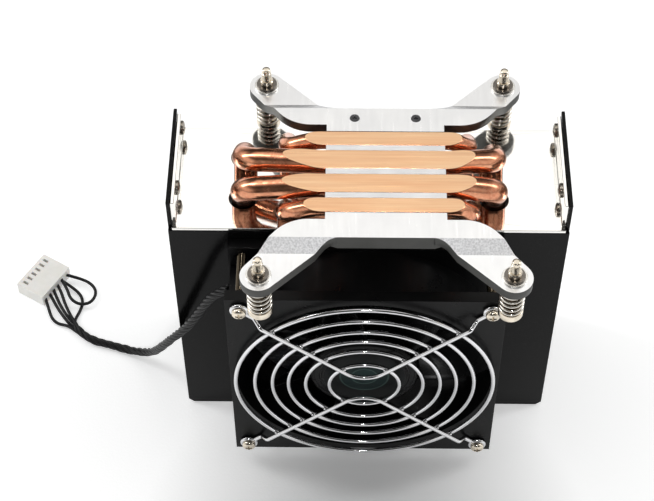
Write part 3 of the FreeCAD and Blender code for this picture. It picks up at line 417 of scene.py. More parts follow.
def dressed_node(name, material, edge=edge_round, segments=2):
    """A CAD piece shown as it is, with its sharp edges broken and its finish on."""
    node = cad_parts[name]
    node.data.materials.clear()
    node.data.materials.append(material)
    weld = node.modifiers.new("weld", "WELD")
    weld.merge_threshold = 0.000005
    broken = node.modifiers.new("broken_edges", "BEVEL")
    broken.width, broken.segments = edge, segments
    broken.limit_method, broken.angle_limit = "ANGLE", math.radians(40)
    broken.harden_normals = True
    return node


black_coat = coated_black()
for name in ("front_panel", "back_frame", "left_side_panel", "right_side_panel", "end_cover"):
    dressed_node(name, black_coat)

# ------------------------------------------------------------------ cover plate
# Bright stainless plate that closes the tower under the base. The pipes pass through it, and its
# short ends are folded up inside the ears and held by two screws each.


def bright_plate():
    material, tree, shader = fresh_material("bright_plate")
    set_shader(shader, Metallic=1.0)
    rolled = grain(tree, 60, stretched_place(tree, (1, 14, 1)), 4)
    cloud = grain(tree, 45, detail=4)
    tree.links.new(blended(tree, spread(tree, cloud, 0, 1), (0.90, 0.88, 0.84), (0.96, 0.95, 0.925)),
                   shader.inputs["Base Color"])
    tree.links.new(spread(tree, rolled, 0.05, 0.11), shader.inputs["Roughness"])
    bumped(tree, shader, grain(tree, 16, detail=1), 0.00012, 0.5)
    return material


plate = bright_plate()
dressed_node("cover_plate", plate)

# ------------------------------------------------------------------ fins
# Forty-seven thin aluminium fins pressed onto the pipe legs, mill finish with a fine rolled grain.


def mill_aluminium(name, tint, low_rough, high_rough, lines):
    """Aluminium with a grain that runs along X, lines across it per metre."""
    material, tree, shader = fresh_material(name)
    set_shader(shader, Metallic=1.0, Anisotropic=0.35)
    along = grain(tree, lines, stretched_place(tree, (0.03, 1, 1)), 4, 0.6)
    cloud = grain(tree, 90, detail=4)
    dark = tuple(0.86 * c for c in tint)
    tree.links.new(blended(tree, spread(tree, cloud, 0, 1), dark, tint), shader.inputs["Base Color"])
    tree.links.new(spread(tree, along, low_rough, high_rough), shader.inputs["Roughness"])
    bumped(tree, shader, along, 0.00002, 0.5)
    return material


fin_metal = mill_aluminium("fin_metal", (0.80, 0.81, 0.83), 0.22, 0.42, 900)
dressed_node("fin_stack", fin_metal, 0.04 * millimetre, 1)

# ------------------------------------------------------------------ heat pipes
# Four bare copper pipes, two 8 mm and two 6 mm, bent at both ends of the base into the tower. Their
# tops are milled flush with the base's face; the bends are drawn smooth, with small dents and tarnish.

contact_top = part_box("base_block")[1].z
block_low, block_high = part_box("base_block")
cover_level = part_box("cover_plate")[0].z + 1.2 * millimetre


def bare_copper():
    material, tree, shader = fresh_material("bare_copper")
    set_shader(shader, Metallic=1.0)
    tarnish = spread(tree, grain(tree, 130, detail=6, rough=0.6), 0, 1, 0.38, 0.66)
    fine = grain(tree, 1300, detail=3)
    deep = blended(tree, tarnish, (0.78, 0.34, 0.19), (0.50, 0.17, 0.09))
    warm = blended(tree, spread(tree, fine, 0, 0.35), deep, (0.92, 0.52, 0.34))
    # The pipe legs are painted darker towards the cover plate below the bends: painted shade under the
    # bends, not a colour of the copper.
    place = add_node(tree, "ShaderNodeTexCoord").outputs["Object"]
    level = add_node(tree, "ShaderNodeSeparateXYZ", {0: place}).outputs["Z"]
    painted_shade_low = spread(tree, level, 0.85, 0, cover_level, contact_top - 0.008)
    tree.links.new(blended(tree, painted_shade_low, warm, (0.10, 0.035, 0.02)), shader.inputs["Base Color"])
    tree.links.new(spread(tree, tarnish, 0.14, 0.30, 0, 1), shader.inputs["Roughness"])
    bumped(tree, shader, grain(tree, 420, detail=4), 0.00005, 0.5)
    return material


def milled_copper():
    material, tree, shader = fresh_material("milled_copper")
    set_shader(shader, Metallic=1.0, Anisotropic=0.5)
    strokes = grain(tree, 2100, stretched_place(tree, (0.02, 1, 1)), 4, 0.65)
    broad = grain(tree, 160, stretched_place(tree, (0.12, 1, 1)), 3)
    pale = blended(tree, spread(tree, broad, 0, 1), (0.95, 0.56, 0.31), (0.99, 0.69, 0.42))
    tree.links.new(blended(tree, spread(tree, strokes, 0, 0.5), pale, (0.80, 0.42, 0.25)),
                   shader.inputs["Base Color"])
    tree.links.new(spread(tree, strokes, 0.26, 0.42), shader.inputs["Roughness"])
    bumped(tree, shader, strokes, 0.00002, 0.7)
    return material


def rounded_corners(corners, radii, step):
    """Straight runs joined by arcs, as points about step apart."""
    line = [corners[0]]
    for before, corner, after, radius in zip(corners, corners[1:], corners[2:], radii):
        inward, outward = (before - corner).normalized(), (after - corner).normalized()
        half_turn = (math.pi - inward.angle(outward)) / 2
        reach = radius * math.tan(half_turn)
        centre = corner + (inward + outward).normalized() * (radius / math.cos(half_turn))
        start = corner + inward * reach - centre
        end = corner + outward * reach - centre
        turn = 2 * half_turn
        count = max(2, math.ceil(turn * radius / step))
        for k in range(count + 1):
            shares = math.sin(turn * (1 - k / count)), math.sin(turn * k / count)
            line.append(centre + (start * shares[0] + end * shares[1]) / math.sin(turn))
    return line + [corners[-1]]


copper_round, copper_flat = bare_copper(), milled_copper()
pipe_run = 2.5 * millimetre
corner_drop, turn_rise = 5.8 * millimetre, 2.5 * millimetre
for name, radius, axis_drop, lean in (
        ("front_outer_pipe", 3.0 * millimetre, 1.0 * millimetre, 0.15),
        ("front_inner_pipe", 4.0 * millimetre, 1.4 * millimetre, 0.35),
        ("back_inner_pipe", 4.0 * millimetre, 1.4 * millimetre, 0.35),
        ("back_outer_pipe", 3.0 * millimetre, 1.0 * millimetre, 0.15)):
    low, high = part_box(name)
    row_y, leg_y = low.y + radius, high.y - radius
    axis_z = contact_top - axis_drop
    corner_y = row_y + lean * (leg_y - row_y)
    halves = []
    for leg_x, base_x in ((low.x + radius, block_low.x - pipe_run),
                          (high.x - radius, block_high.x + pipe_run)):
        halves.append([
            Vector((base_x, row_y, axis_z)),
            Vector((leg_x, corner_y, axis_z - corner_drop)),
            Vector((leg_x, leg_y, cover_level + turn_rise)),
            Vector((leg_x, leg_y, low.z)),
        ])
    corners = halves[0][::-1] + halves[1]
    bends = [8 * millimetre, 8 * millimetre, 5.5 * millimetre, 5.5 * millimetre, 8 * millimetre,
             8 * millimetre]
    line = evenly(rounded_corners(corners, bends, 0.3 * millimetre), 0.6 * millimetre)
    bm = bmesh.new()
    sweep_into(bm, line, radius, 56)
    for vertex in bm.verts:
        past = max(vertex.co.x - block_high.x, block_low.x - vertex.co.x, 0) / (4 * millimetre)
        if past > 0 and vertex.co.z > cover_level:
            dent = noise.noise(vertex.co * 170) + 0.5 * noise.noise(vertex.co * 420)
            vertex.co += Vector((0, 0, 0.10 * millimetre * dent * min(1, past)))
    flat = bmesh.ops.bisect_plane(bm, geom=bm.verts[:] + bm.edges[:] + bm.faces[:],
                                  plane_co=(0, 0, contact_top), plane_no=(0, 0, 1), clear_outer=True)
    rim = [item for item in flat["geom_cut"] if isinstance(item, bmesh.types.BMEdge)]
    before = set(bm.faces)
    bmesh.ops.holes_fill(bm, edges=rim, sides=0)
    for face in set(bm.faces) - before:
        face.material_index = 1
        face.normal_update()
    mesh = mesh_from(bm, name + "_shape")
    pipe = mesh_piece("copper_" + name, mesh, copper_round, "cooler")
    mesh.materials.append(copper_flat)
    for face in mesh.polygons:
        face.use_smooth = face.material_index == 0
    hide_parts(name)

# ------------------------------------------------------------------ base block and clip brackets
# A milled aluminium block holds the pipes. A cranked plate of satin aluminium lies on it at each end
# and reaches out to the board's four holes; the back one is held by two countersunk screws.


def satin_aluminium():
    """Bright milled flats with strokes along Y, a grey blasted crank, and a painted dark reflection on the
    faces that look sideways or down.
    """
    material, tree, shader = fresh_material("satin_aluminium")
    set_shader(shader, Metallic=1.0)
    strokes = grain(tree, 1500, stretched_place(tree, (1, 0.05, 0.3)), 4, 0.65)
    cloud = grain(tree, 70, detail=5)
    coordinates = add_node(tree, "ShaderNodeTexCoord").outputs
    facing = add_node(tree, "ShaderNodeSeparateXYZ", {0: coordinates["Normal"]}).outputs["Z"]
    top = spread(tree, facing, 0, 1, 0.85, 0.97)
    # Faces that look sideways or down are coloured near black: a painted reflection of the dark room in
    # front, not a colour of cut aluminium.
    edge = spread(tree, facing, 1, 0, 0.2, 0.5)
    speckle = spread(tree, grain(tree, 1700, detail=2), 0, 1, 0.35, 0.65)
    blasted = blended(tree, speckle, (0.66, 0.66, 0.67), (0.90, 0.90, 0.91))
    milled = blended(tree, spread(tree, cloud, 0, 1), (0.90, 0.90, 0.91), (0.98, 0.98, 0.98))
    painted_dark_reflection = blended(tree, cloud, (0.06, 0.06, 0.057), (0.13, 0.13, 0.125))
    tint = blended(tree, edge, blended(tree, top, blasted, milled), painted_dark_reflection)
    tree.links.new(tint, shader.inputs["Base Color"])
    finish = add_node(tree, "ShaderNodeMix", {0: top, 2: 0.5, 3: spread(tree, strokes, 0.26, 0.40)})
    tree.links.new(finish.outputs[0], shader.inputs["Roughness"])
    bumped(tree, shader, strokes, 0.00002, 0.5)
    return material


base_metal = mill_aluminium("base_metal", (0.86, 0.86, 0.87), 0.24, 0.38, 1600)
bracket_metal = satin_aluminium()
dressed_node("base_block", base_metal, 0.12 * millimetre)
for name in ("front_bracket", "back_bracket"):
    dressed_node(name, bracket_metal, 0.3 * millimetre, 3)

# ------------------------------------------------------------------ spring screws
# Each corner has a shouldered screw pushed up through a spring and the bracket, and kept there by a
# washer and an E-clip. All four are nickel plated steel; the tip is threaded for the board's backplate.


def nickel_plate(name, tint, low_rough, high_rough, shaded_span=None):
    """Plated steel; the last argument names an axis and the two places between which its colour is darkened
    as painted shade.
    """
    material, tree, shader = fresh_material(name)
    set_shader(shader, Metallic=1.0)
    cloud = grain(tree, 420, detail=4)
    dark = tuple(0.72 * c for c in tint)
    colour = blended(tree, spread(tree, cloud, 0, 1, 0.25, 0.6), dark, tint)
    if shaded_span:
        axis, start, end = shaded_span
        place = add_node(tree, "ShaderNodeTexCoord").outputs["Object"]
        along = add_node(tree, "ShaderNodeSeparateXYZ", {0: place}).outputs[axis]
        rise = spread(tree, along, 0, 1, start, start + 0.0002)
        fall = spread(tree, along, 1, 0, end - 0.0002, end)
        inside = add_node(tree, "ShaderNodeMath", {0: rise, 1: fall}, operation="MULTIPLY").outputs[0]
        # Painted shade: the span is darkened where the shank sits inside a spring or a hole.
        colour = blended(tree, inside, colour, (0.10, 0.08, 0.055))
    tree.links.new(colour, shader.inputs["Base Color"])
    tree.links.new(spread(tree, grain(tree, 900), low_rough, high_rough), shader.inputs["Roughness"])
    bumped(tree, shader, grain(tree, 1500), 0.00002, 0.4)
    return material


def turned_into(bm, profile, sides, pitch=0.0, depth=0.0, threaded=(0, 0)):
    """A lathe shape from (radius, height) pairs; a thread is cut between two heights."""
    rings = []
    for radius, height in profile:
        cut = pitch and threaded[0] <= height <= threaded[1]
        ring = []
        for k in range(sides):
            turn = k / sides
            wave = abs(((height / pitch - turn) % 1) * 2 - 1) if cut else 0
            reach = radius - depth * wave
            ring.append(bm.verts.new((reach * math.cos(math.tau * turn), reach * math.sin(math.tau * turn),
                                      height)))
        rings.append(ring)
    for lower, upper in zip(rings, rings[1:]):
        for k in range(sides):
            following = (k + 1) % sides
            bm.faces.new((lower[k], lower[following], upper[following], upper[k]))
    bm.faces.new(rings[0][::-1])
    bm.faces.new(rings[-1])


def stack(*runs):
    """(radius, height) pairs; a run (radius, low, high, step) is divided for a thread."""
    profile = []
    for run in runs:
        if len(run) == 2:
            profile.append(run)
        else:
            radius, low, high, step = run
            count = max(1, math.ceil((high - low) / step))
            profile += [(radius, low + (high - low) * k / count) for k in range(count + 1)]
    return profile


def carve_cross(piece, place, direction, arm, wide, deep):
    """Sinks a tapered cross recess into a screw's head; direction points out of the head."""
    bm = bmesh.new()
    for turn in (0, math.pi / 2):
        corners = []
        for level, share in ((0.4 * millimetre, 1.0), (-deep, 0.45)):
            for x, y in ((-1, -1), (1, -1), (1, 1), (-1, 1)):
                spot = Vector((x * arm * share, y * wide * (0.6 + 0.4 * share), level))
                corners.append(bm.verts.new(Matrix.Rotation(turn, 3, "Z") @ spot))
        for face in ((0, 1, 2, 3), (7, 6, 5, 4), (0, 4, 5, 1), (1, 5, 6, 2), (2, 6, 7, 3), (3, 7, 4, 0)):
            bm.faces.new([corners[k] for k in face])
    cutter = bpy.data.objects.new("cross_cutter", mesh_from(bm, "cross_cutter"))
    cutter.matrix_world = Matrix.LocRotScale(Vector(place), Vector(direction).to_track_quat("Z", "Y"), None)
    scene.collection.objects.link(cutter)
    carving = piece.modifiers.new("cross_recess", "BOOLEAN")
    carving.object = cutter
    carving.operation = "DIFFERENCE"
    carving.solver = "EXACT"
    carving.use_self = True
    bpy.context.view_layer.update()
    seen = piece.evaluated_get(bpy.context.evaluated_depsgraph_get())
    carved = bpy.data.meshes.new_from_object(seen)
    piece.modifiers.clear()
    piece.data = carved
    bpy.data.objects.remove(cutter)


def sharp_by_angle(piece, degrees=35):
    """Smooth shading that stops at the piece's real edges."""
    piece.data.polygons.foreach_set("use_smooth", [True] * len(piece.data.polygons))
    piece.data.set_sharp_from_angle(angle=math.radians(degrees))


shank_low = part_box("front_left_spring")[0].z
shank_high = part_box("front_left_washer")[0].z
# The shank inside the spring is painted dark as shade.
screw_nickel = nickel_plate("screw_nickel", (0.80, 0.72, 0.60), 0.13, 0.26, ("Z", shank_low, shank_high))
clip_nickel = nickel_plate("clip_nickel", (0.86, 0.84, 0.80), 0.2, 0.34)
clip_steel = nickel_plate("clip_steel", (0.20, 0.18, 0.16), 0.2, 0.34)
spring_wire = nickel_plate("spring_wire", (0.83, 0.79, 0.72), 0.08, 0.18)
thread_pitch, thread_depth = 0.7 * millimetre, 0.26 * millimetre
for corner in ("front_left", "front_right", "back_left", "back_right"):
    low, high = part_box(corner + "_spring_screw")
    washer_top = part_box(corner + "_washer")[1].z
    axis_x, axis_y = (low.x + high.x) / 2, (low.y + high.y) / 2
    head_radius = (high.x - low.x) / 2
    head_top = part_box(corner + "_spring")[0].z
    shank, neck = 2.0 * millimetre, 1.45 * millimetre
    collar, stud, nose = 2.2 * millimetre, 1.65 * millimetre, 1.45 * millimetre
    neck_top = washer_top + 0.8 * millimetre
    collar_top, stud_top = neck_top + 1.8 * millimetre, high.z - 1.5 * millimetre
    thread_low, thread_high = collar_top + 0.3 * millimetre, stud_top - 0.35 * millimetre
    soft, nose_round = 0.3 * millimetre, 0.7 * millimetre
    fine = thread_pitch / 8
    crown = [(nose - nose_round * (1 - math.cos(a)), high.z - nose_round * (1 - math.sin(a)))
             for a in [math.radians(d) for d in range(0, 91, 15)]]
    profile = stack(
        (head_radius - 2 * soft, low.z), (head_radius - soft, low.z + 0.1 * soft),
        (head_radius, low.z + soft),
        (head_radius, head_top - soft), (head_radius - 0.3 * soft, head_top - 0.3 * soft),
        (head_radius - soft, head_top - 0.02 * soft), (shank, head_top), (shank, washer_top - 0.1 * soft),
        (neck, washer_top), (neck, neck_top), (collar - 0.6 * soft, neck_top + 0.1 * soft),
        (collar, neck_top + 0.7 * soft), (collar, collar_top - 1.3 * soft),
        (collar - 1.2 * soft, collar_top),
        (stud - thread_depth, collar_top + 0.1 * soft), (stud, thread_low, thread_high, fine),
        (nose - 0.6 * soft, stud_top - 0.6 * soft), (nose - 0.6 * soft, stud_top),
        (nose, stud_top + 0.3 * soft),
        *crown)
    bm = bmesh.new()
    turned_into(bm, profile, 40, thread_pitch, thread_depth, (thread_low, thread_high))
    bmesh.ops.translate(bm, verts=bm.verts, vec=(axis_x, axis_y, 0))
    screw = mesh_piece(corner + "_shoulder_screw", mesh_from(bm, corner + "_shoulder_screw"), screw_nickel,
                       corner + "_screw")
    carve_cross(screw, (axis_x, axis_y, low.z), (0, 0, -1),
                arm=2.3 * millimetre, wide=0.55 * millimetre, deep=1.5 * millimetre)
    sharp_by_angle(screw)
    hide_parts(corner + "_spring_screw")

    spring_low, spring_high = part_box(corner + "_spring")
    wire_radius = 0.425 * millimetre
    mean_radius = (spring_high.x - spring_low.x) / 2 - wire_radius
    bottom, top = spring_low.z + wire_radius, spring_high.z - wire_radius
    turns, dead_turns = 6.3, 0.8
    steps = round(turns * 40)
    line = []
    for k in range(steps + 1):
        turn = turns * k / steps
        dead = 2.05 * wire_radius
        if turn < dead_turns:
            height = bottom + dead * turn * 0.85
        elif turn > turns - dead_turns:
            height = top - dead * (turns - turn) * 0.85
        else:
            start, stop = bottom + dead * dead_turns * 0.85, top - dead * dead_turns * 0.85
            height = start + (stop - start) * (turn - dead_turns) / (turns - 2 * dead_turns)
        angle = math.tau * turn
        line.append(Vector((axis_x + mean_radius * math.cos(angle),
                            axis_y + mean_radius * math.sin(angle), height)))
    heights = [point.z for point in line]
    for _ in range(40):
        evened = [(a + b + c) / 3 for a, b, c in zip(heights, heights[1:], heights[2:])]
        heights = [heights[0]] + evened + [heights[-1]]
    for point, height in zip(line, heights):
        point.z = height
    bm = bmesh.new()
    sweep_into(bm, line, wire_radius, 14)
    spring = mesh_piece(corner + "_coil_spring", mesh_from(bm, corner + "_coil_spring"), spring_wire,
                        "cooler")
    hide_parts(corner + "_spring")
    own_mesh(spring)
    dressed_node(corner + "_washer", clip_nickel, 0.12 * millimetre)
    dressed_node(corner + "_e_clip", clip_steel, 0.1 * millimetre)

# ------------------------------------------------------------------ small screws
# Pan head screws hold the cover plate to the ears and the fan to the front panel, and two countersunk
# ones hold the back bracket. Plated steel, cross recessed.


def small_screw(name, metal, head, head_high, shank, long, place, direction, sunk=False):
    """A cross recessed screw; place is the seat of its head and direction points out of the head."""
    fine = 0.5 * millimetre / 8
    if sunk:
        profile = stack((shank * 0.6, -long), (shank, -long + shank * 0.5, -head_high, fine),
                        (head, -0.08 * head),
                        (head * 0.99, 0))
    else:
        crown = [(head * math.cos(a), head_high * (0.35 + 0.65 * math.sin(a)))
                 for a in [math.radians(d) for d in range(0, 80, 10)]]
        profile = stack((shank * 0.6, -long), (shank, -long + shank * 0.5, -0.02 * millimetre, fine),
                        (head * 0.97, 0), (head, 0.12 * head_high), *crown, (0.1 * head, head_high))
    bm = bmesh.new()
    turned_into(bm, profile, 32, 0.5 * millimetre, 0.2 * millimetre, (-long + shank * 0.5, -head_high))
    turn = Vector(direction).to_track_quat("Z", "Y").to_matrix().to_4x4()
    bmesh.ops.transform(bm, verts=bm.verts, matrix=Matrix.Translation(Vector(place)) @ turn)
    screw = mesh_piece(name, mesh_from(bm, name), metal, "cooler")
    top = Vector(place) + Vector(direction) * (0 if sunk else head_high)
    carve_cross(screw, top, direction, 0.6 * head, 0.15 * head, 0.75 * head_high)
    sharp_by_angle(screw)
    return screw


fan_low, fan_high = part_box("fan_frame")
fan_x, fan_z = (fan_low.x + fan_high.x) / 2, (fan_low.z + fan_high.z) / 2
hole_half = 82.5 / 2 * millimetre
screw_low, screw_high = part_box("fan_screws")
fan_head_high = 1.9 * millimetre
seat_y = screw_low.y + fan_head_high
# The shank behind each head, inside the frame and panel, is painted dark as shade.
fan_screw_nickel = nickel_plate("fan_screw_nickel", (0.80, 0.72, 0.60), 0.13, 0.26,
                                ("Y", seat_y, screw_high.y))
for count, (i, j) in enumerate(((-1, -1), (1, -1), (-1, 1), (1, 1))):
    seat = (fan_x + i * hole_half, seat_y, fan_z + j * hole_half)
    screw = small_screw(f"fan_screw_{count + 1}", fan_screw_nickel, 2.35 * millimetre, fan_head_high,
                        1.6 * millimetre, screw_high.y - seat_y, seat, (0, -1, 0))
    if not count:
        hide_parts("fan_screws")

side_low, side_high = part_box("side_screws")
side_head, side_head_high = 2.5 * millimetre, 1.2 * millimetre
side_shank = 1.4 * millimetre
side_level = (side_low.z + side_high.z) / 2
two_sheets = 2.55 * millimetre
side_screw_nickel = nickel_plate("side_screw_nickel", (0.34, 0.31, 0.27), 0.13, 0.26)
for count, (i, y) in enumerate(((-1, side_low.y + side_head), (-1, side_high.y - side_head),
                                (1, side_low.y + side_head), (1, side_high.y - side_head))):
    seat = (i * (side_high.x - two_sheets), y, side_level)
    screw = small_screw(f"side_screw_{count + 1}", side_screw_nickel, side_head, side_head_high, side_shank,
                        two_sheets, seat, (-i, 0, 0))
    if not count:
        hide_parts("side_screws")

blackened_steel = nickel_plate("blackened_steel", (0.10, 0.10, 0.105), 0.25, 0.4)
sunk_low, sunk_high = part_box("bracket_screws")
sunk_head, sunk_depth = 1.65 * millimetre, 0.65 * millimetre
sunk_shank = 1.0 * millimetre
for count, x in enumerate((sunk_low.x + sunk_head, sunk_high.x - sunk_head)):
    seat = (x, (sunk_low.y + sunk_high.y) / 2, sunk_high.z)
    screw = small_screw(f"bracket_screw_{count + 1}", blackened_steel, sunk_head, sunk_depth, sunk_shank,
                        sunk_high.z - sunk_low.z, seat, (0, 0, 1), True)
    if not count:
        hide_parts("bracket_screws")

# ------------------------------------------------------------------ fan frame
# One black PBT moulding: two square flanges, the round duct, four struts and the motor's cup. The
# lead leaves through a small clip between the flanges.


def moulded_black(name, colour, low_rough, high_rough):
    material, tree, shader = fresh_material(name)
    set_shader(shader, Specular_IOR_Level=0.14)
    pale = tuple(2.4 * c for c in colour)
    dust = spread(tree, grain(tree, 1900, detail=1), 0, 0.5, 0.66, 0.8)
    tree.links.new(blended(tree, dust, colour, pale), shader.inputs["Base Color"])
    tree.links.new(spread(tree, grain(tree, 120, detail=4), low_rough, high_rough),
                   shader.inputs["Roughness"])
    bumped(tree, shader, grain(tree, 3000, detail=2), 0.00003, 0.5)
    return material


frame_plastic = moulded_black("frame_plastic", (0.0035, 0.0035, 0.0038), 0.26, 0.4)
dressed_node("fan_frame", frame_plastic, 0.3 * millimetre, 3)
dressed_node("lead_clip", frame_plastic, 0.4 * millimetre, 3)

# ------------------------------------------------------------------ impeller
# Seven swept blades and a cup with a rounded rim, one black moulding on the motor's rotor. A plain
# round film label sits on the cup.

blade_plastic = moulded_black("blade_plastic", (0.004, 0.004, 0.0043), 0.2, 0.32)
rotor_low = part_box("impeller")[0]
hub_radius, hub_deep = 19.0 * millimetre, 17.0 * millimetre
hub_front = rotor_low.y
blade_tip, blade_root = 42.6 * millimetre, 18.2 * millimetre
blade_middle = hub_front + 8.3 * millimetre
rim_round = 2.2 * millimetre
bm = bmesh.new()
cap = [(0.02 * hub_radius, 0), (hub_radius - 4.4 * millimetre, 0),
       (hub_radius - 4.2 * millimetre, 0.25 * millimetre),
       (hub_radius - 3.6 * millimetre, 0.25 * millimetre), (hub_radius - 3.4 * millimetre, 0)]
cap += [(hub_radius - rim_round + rim_round * math.sin(a), rim_round - rim_round * math.cos(a))
        for a in [math.radians(d) for d in range(0, 91, 10)]]
wall = 1.75 * millimetre
cap += [(hub_radius, hub_deep - 0.3 * millimetre), (hub_radius - 0.3 * millimetre, hub_deep),
        (hub_radius - wall, hub_deep), (hub_radius - wall, 1.6 * millimetre),
        (0.02 * hub_radius, 1.6 * millimetre)]
turned_into(bm, cap, 96)
to_front = Matrix.Translation((fan_x, hub_front, fan_z)) @ Matrix.Rotation(math.radians(-90), 4, "X")
bmesh.ops.transform(bm, verts=bm.verts, matrix=to_front)
spans, chords = 22, 18
for blade in range(7):
    grid = {}
    for i in range(spans + 1):
        out = i / spans
        radius = blade_root + (blade_tip - blade_root) * out
        pitch = math.radians(52 - 18 * out)
        chord = (15.5 + 3.5 * math.sin(out * math.pi * 0.62)) * millimetre
        camber = (1.5 + 0.6 * out) * millimetre
        thick = (0.75 - 0.3 * out) * millimetre
        sweep = math.tau * blade / 7 + 0.20 * out ** 1.6
        for j in range(chords + 1):
            share = 2 * j / chords - 1
            along = share * chord / 2
            body = thick * math.sqrt(max(0.0, 1 - abs(share) ** 3.5)) + 0.12 * millimetre
            for side in (-1, 1):
                off = camber * (1 - share ** 2) + side * body
                around = (along * math.cos(pitch) - off * math.sin(pitch)) / radius + sweep
                axial = along * math.sin(pitch) + off * math.cos(pitch)
                spot = (fan_x + radius * math.cos(around), blade_middle + axial,
                        fan_z + radius * math.sin(around))
                grid[i, j, side] = bm.verts.new(spot)
    for i in range(spans):
        for j in range(chords):
            for side in (-1, 1):
                face = [grid[i, j, side], grid[i + 1, j, side], grid[i + 1, j + 1, side],
                        grid[i, j + 1, side]]
                bm.faces.new(face if side > 0 else face[::-1])
        for j in (0, chords):
            bm.faces.new((grid[i, j, -1], grid[i + 1, j, -1], grid[i + 1, j, 1], grid[i, j, 1]))
    for i in (0, spans):
        for j in range(chords):
            bm.faces.new((grid[i, j, -1], grid[i, j, 1], grid[i, j + 1, 1], grid[i, j + 1, -1]))
impeller = mesh_piece("swept_impeller", mesh_from(bm, "swept_impeller"), blade_plastic, "rotor")
sharp_by_angle(impeller, 50)
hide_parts("impeller")


def film_label():
    """Dark teal film with paler rings and a blank centre."""
    material, tree, shader = fresh_material("film_label")
    set_shader(shader, Roughness=0.42, Specular_IOR_Level=0.12)
    place = add_node(tree, "ShaderNodeTexCoord").outputs["Object"]
    centred = add_node(tree, "ShaderNodeVectorMath", {0: place, 1: (fan_x, hub_front, fan_z)},
                       operation="SUBTRACT")
    away = add_node(tree, "ShaderNodeVectorMath", {0: centred.outputs[0]},
                    operation="LENGTH").outputs["Value"]
    colour = blended(tree, spread(tree, grain(tree, 300), 0, 1), (0.006, 0.018, 0.018),
                     (0.012, 0.032, 0.031))
    for edge, tone in ((0.0042, (0.04, 0.07, 0.065)), (0.0047, (0.007, 0.018, 0.018)),
                       (0.0080, (0.035, 0.06, 0.055)),
                       (0.0086, (0.004, 0.005, 0.0055))):
        past = add_node(tree, "ShaderNodeMath", {0: away, 1: edge}, operation="GREATER_THAN").outputs[0]
        colour = blended(tree, past, colour, tone)
    tree.links.new(colour, shader.inputs["Base Color"])
    return material


dressed_node("hub_label", film_label(), 0.05 * millimetre, 1)

# ------------------------------------------------------------------ motor
# Inside the cup: a steel can with a bonded magnet ring, a shaft in two bearings, and a four-pole
# stator wound with copper over a small control board.


def plain_metal(name, tint, rough):
    material, tree, shader = fresh_material(name)
    set_shader(shader, Metallic=1.0)
    tree.links.new(blended(tree, grain(tree, 500), tuple(0.7 * c for c in tint), tint),
                   shader.inputs["Base Color"])
    tree.links.new(spread(tree, grain(tree, 900), rough - 0.08, rough + 0.08), shader.inputs["Roughness"])
    return material


def plain_dielectric(name, colour, rough):
    material, tree, shader = fresh_material(name)
    pale = tuple(1.5 * c for c in colour)
    tree.links.new(blended(tree, grain(tree, 700), colour, pale), shader.inputs["Base Color"])
    tree.links.new(spread(tree, grain(tree, 1200), rough - 0.08, rough + 0.08), shader.inputs["Roughness"])
    bumped(tree, shader, grain(tree, 2500), 0.00003, 0.5)
    return material


can_steel = plain_metal("can_steel", (0.62, 0.61, 0.60), 0.3)
for name, material in (
        ("rotor_can", can_steel), ("shaft", plain_metal("ground_steel", (0.75, 0.75, 0.76), 0.16)),
        ("bearings", plain_metal("bearing_steel", (0.7, 0.69, 0.67), 0.2)),
        ("stator_core", plain_metal("lamination_steel", (0.42, 0.41, 0.41), 0.42)),
        ("stator_coils", plain_metal("enamelled_copper", (0.72, 0.30, 0.12), 0.28)),
        ("magnet_ring", plain_dielectric("bonded_magnet", (0.05, 0.045, 0.04), 0.6)),
        ("circuit_board", plain_dielectric("solder_mask", (0.02, 0.12, 0.05), 0.35))):
    dressed_node(name, material, 0.1 * millimetre, 2)

# ------------------------------------------------------------------ finger guard
# Six rings of chromed steel wire, spot welded behind two bent cross wires whose ends are closed into
# eyes under the fan's corner screws.


def chromed_wire():
    material, tree, shader = fresh_material("chromed_wire")
    set_shader(shader, Metallic=1.0)
    tree.links.new(blended(tree, grain(tree, 240, detail=4), (0.66, 0.66, 0.68), (0.82, 0.82, 0.83)),
                   shader.inputs["Base Color"])
    tree.links.new(spread(tree, grain(tree, 700), 0.06, 0.16), shader.inputs["Roughness"])
    return material


chrome = chromed_wire()
guard_wire = 0.75 * millimetre
rings_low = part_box("guard_rings")[0]
ring_y = rings_low.y + guard_wire
ring_radii = [radius * millimetre for radius in (44, 37.5, 31.5, 26, 20.1, 12)]
bm = bmesh.new()
for radius in ring_radii:
    count = round(radius / (0.2 * millimetre))
    circle = [Vector((fan_x + radius * math.cos(math.tau * k / count), ring_y,
                      fan_z + radius * math.sin(math.tau * k / count))) for k in range(count)]
    sweep_into(bm, circle, guard_wire, 16, closed=True)
guard = mesh_piece("chromed_guard_rings", mesh_from(bm, "chromed_guard_rings"), chrome, "cooler")
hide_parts("guard_rings")

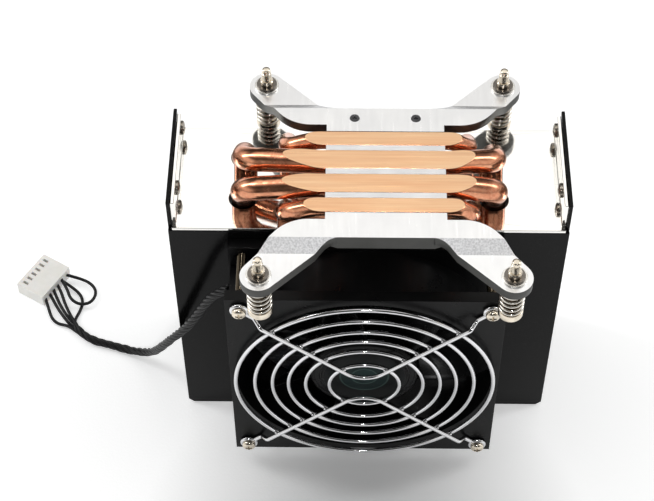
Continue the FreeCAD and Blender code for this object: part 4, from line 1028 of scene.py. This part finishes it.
stays_low, stays_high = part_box("guard_stays")
stay_y, eye_y = stays_low.y + guard_wire, stays_high.y - guard_wire
eye_radius, apex_rise = 2.45 * millimetre, 3.0 * millimetre
bm = bmesh.new()
for way in (1, -1):
    apex = Vector((fan_x, stay_y, fan_z + way * apex_rise))
    arms = []
    for side in (-1, 1):
        eye = Vector((fan_x + side * hole_half, eye_y, fan_z + way * hole_half))
        toward = Vector((apex.x - eye.x, 0, apex.z - eye.z)).normalized()
        count = 48
        circle = [eye + eye_radius * Vector((math.cos(math.tau * k / count), 0,
                                             math.sin(math.tau * k / count)))
                  for k in range(count)]
        sweep_into(bm, circle, guard_wire, 16, closed=True)
        start, rise = eye + toward * (eye_radius + 0.2 * millimetre), eye + toward * 6.5 * millimetre
        level = eye + toward * 9.5 * millimetre
        level.y = stay_y
        arms.append([start, rise, level])
    corners = arms[0] + [apex] + arms[1][::-1]
    bends = [1.5 * millimetre, 1.5 * millimetre, 9 * millimetre, 1.5 * millimetre, 1.5 * millimetre]
    sweep_into(bm, evenly(rounded_corners(corners, bends, 0.25 * millimetre), 0.5 * millimetre),
               guard_wire, 16)
    for radius in ring_radii:
        for side in (-1, 1):
            start = Vector((apex.x, stay_y, apex.z))
            end = Vector((fan_x + side * hole_half, stay_y, fan_z + way * hole_half))
            run = (end - start).normalized()
            centre = Vector((fan_x, stay_y, fan_z))
            offset = start - centre
            half = run.dot(offset)
            reach = -half + math.sqrt(half ** 2 - offset.length_squared + radius ** 2)
            weld = start + run * reach + Vector((0, guard_wire * 0.95, 0))
            bmesh.ops.create_uvsphere(bm, u_segments=12, v_segments=8, radius=guard_wire * 1.08,
                                      matrix=Matrix.Translation(weld) @ Matrix.Diagonal((1.15, 0.55, 1.15,
                                                                                         1)))
stays = mesh_piece("chromed_cross_wires", mesh_from(bm, "chromed_cross_wires"), chrome, "cooler")
sharp_by_angle(stays, 60)
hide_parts("guard_stays")

# ------------------------------------------------------------------ plug
# A six-way plug in natural white nylon with crimped tin contacts, windows over their latches and the
# wires in its back end.


def natural_nylon():
    material, tree, shader = fresh_material("natural_nylon")
    set_shader(shader, Roughness=0.36, Subsurface_Weight=0.25, Subsurface_Scale=0.001)
    shader.inputs["Subsurface Radius"].default_value = (1.0, 0.8, 0.6)
    tree.links.new(blended(tree, spread(tree, grain(tree, 260, detail=4), 0, 1), (0.83, 0.82, 0.78),
                           (0.90, 0.89, 0.86)),
                   shader.inputs["Base Color"])
    bumped(tree, shader, grain(tree, 2200), 0.00003, 0.5)
    return material


dressed_node("plug_housing", natural_nylon(), 0.2 * millimetre, 3)
dressed_node("plug_contacts", plain_metal("contact_tin", (0.78, 0.78, 0.76), 0.22), 0.06 * millimetre, 1)
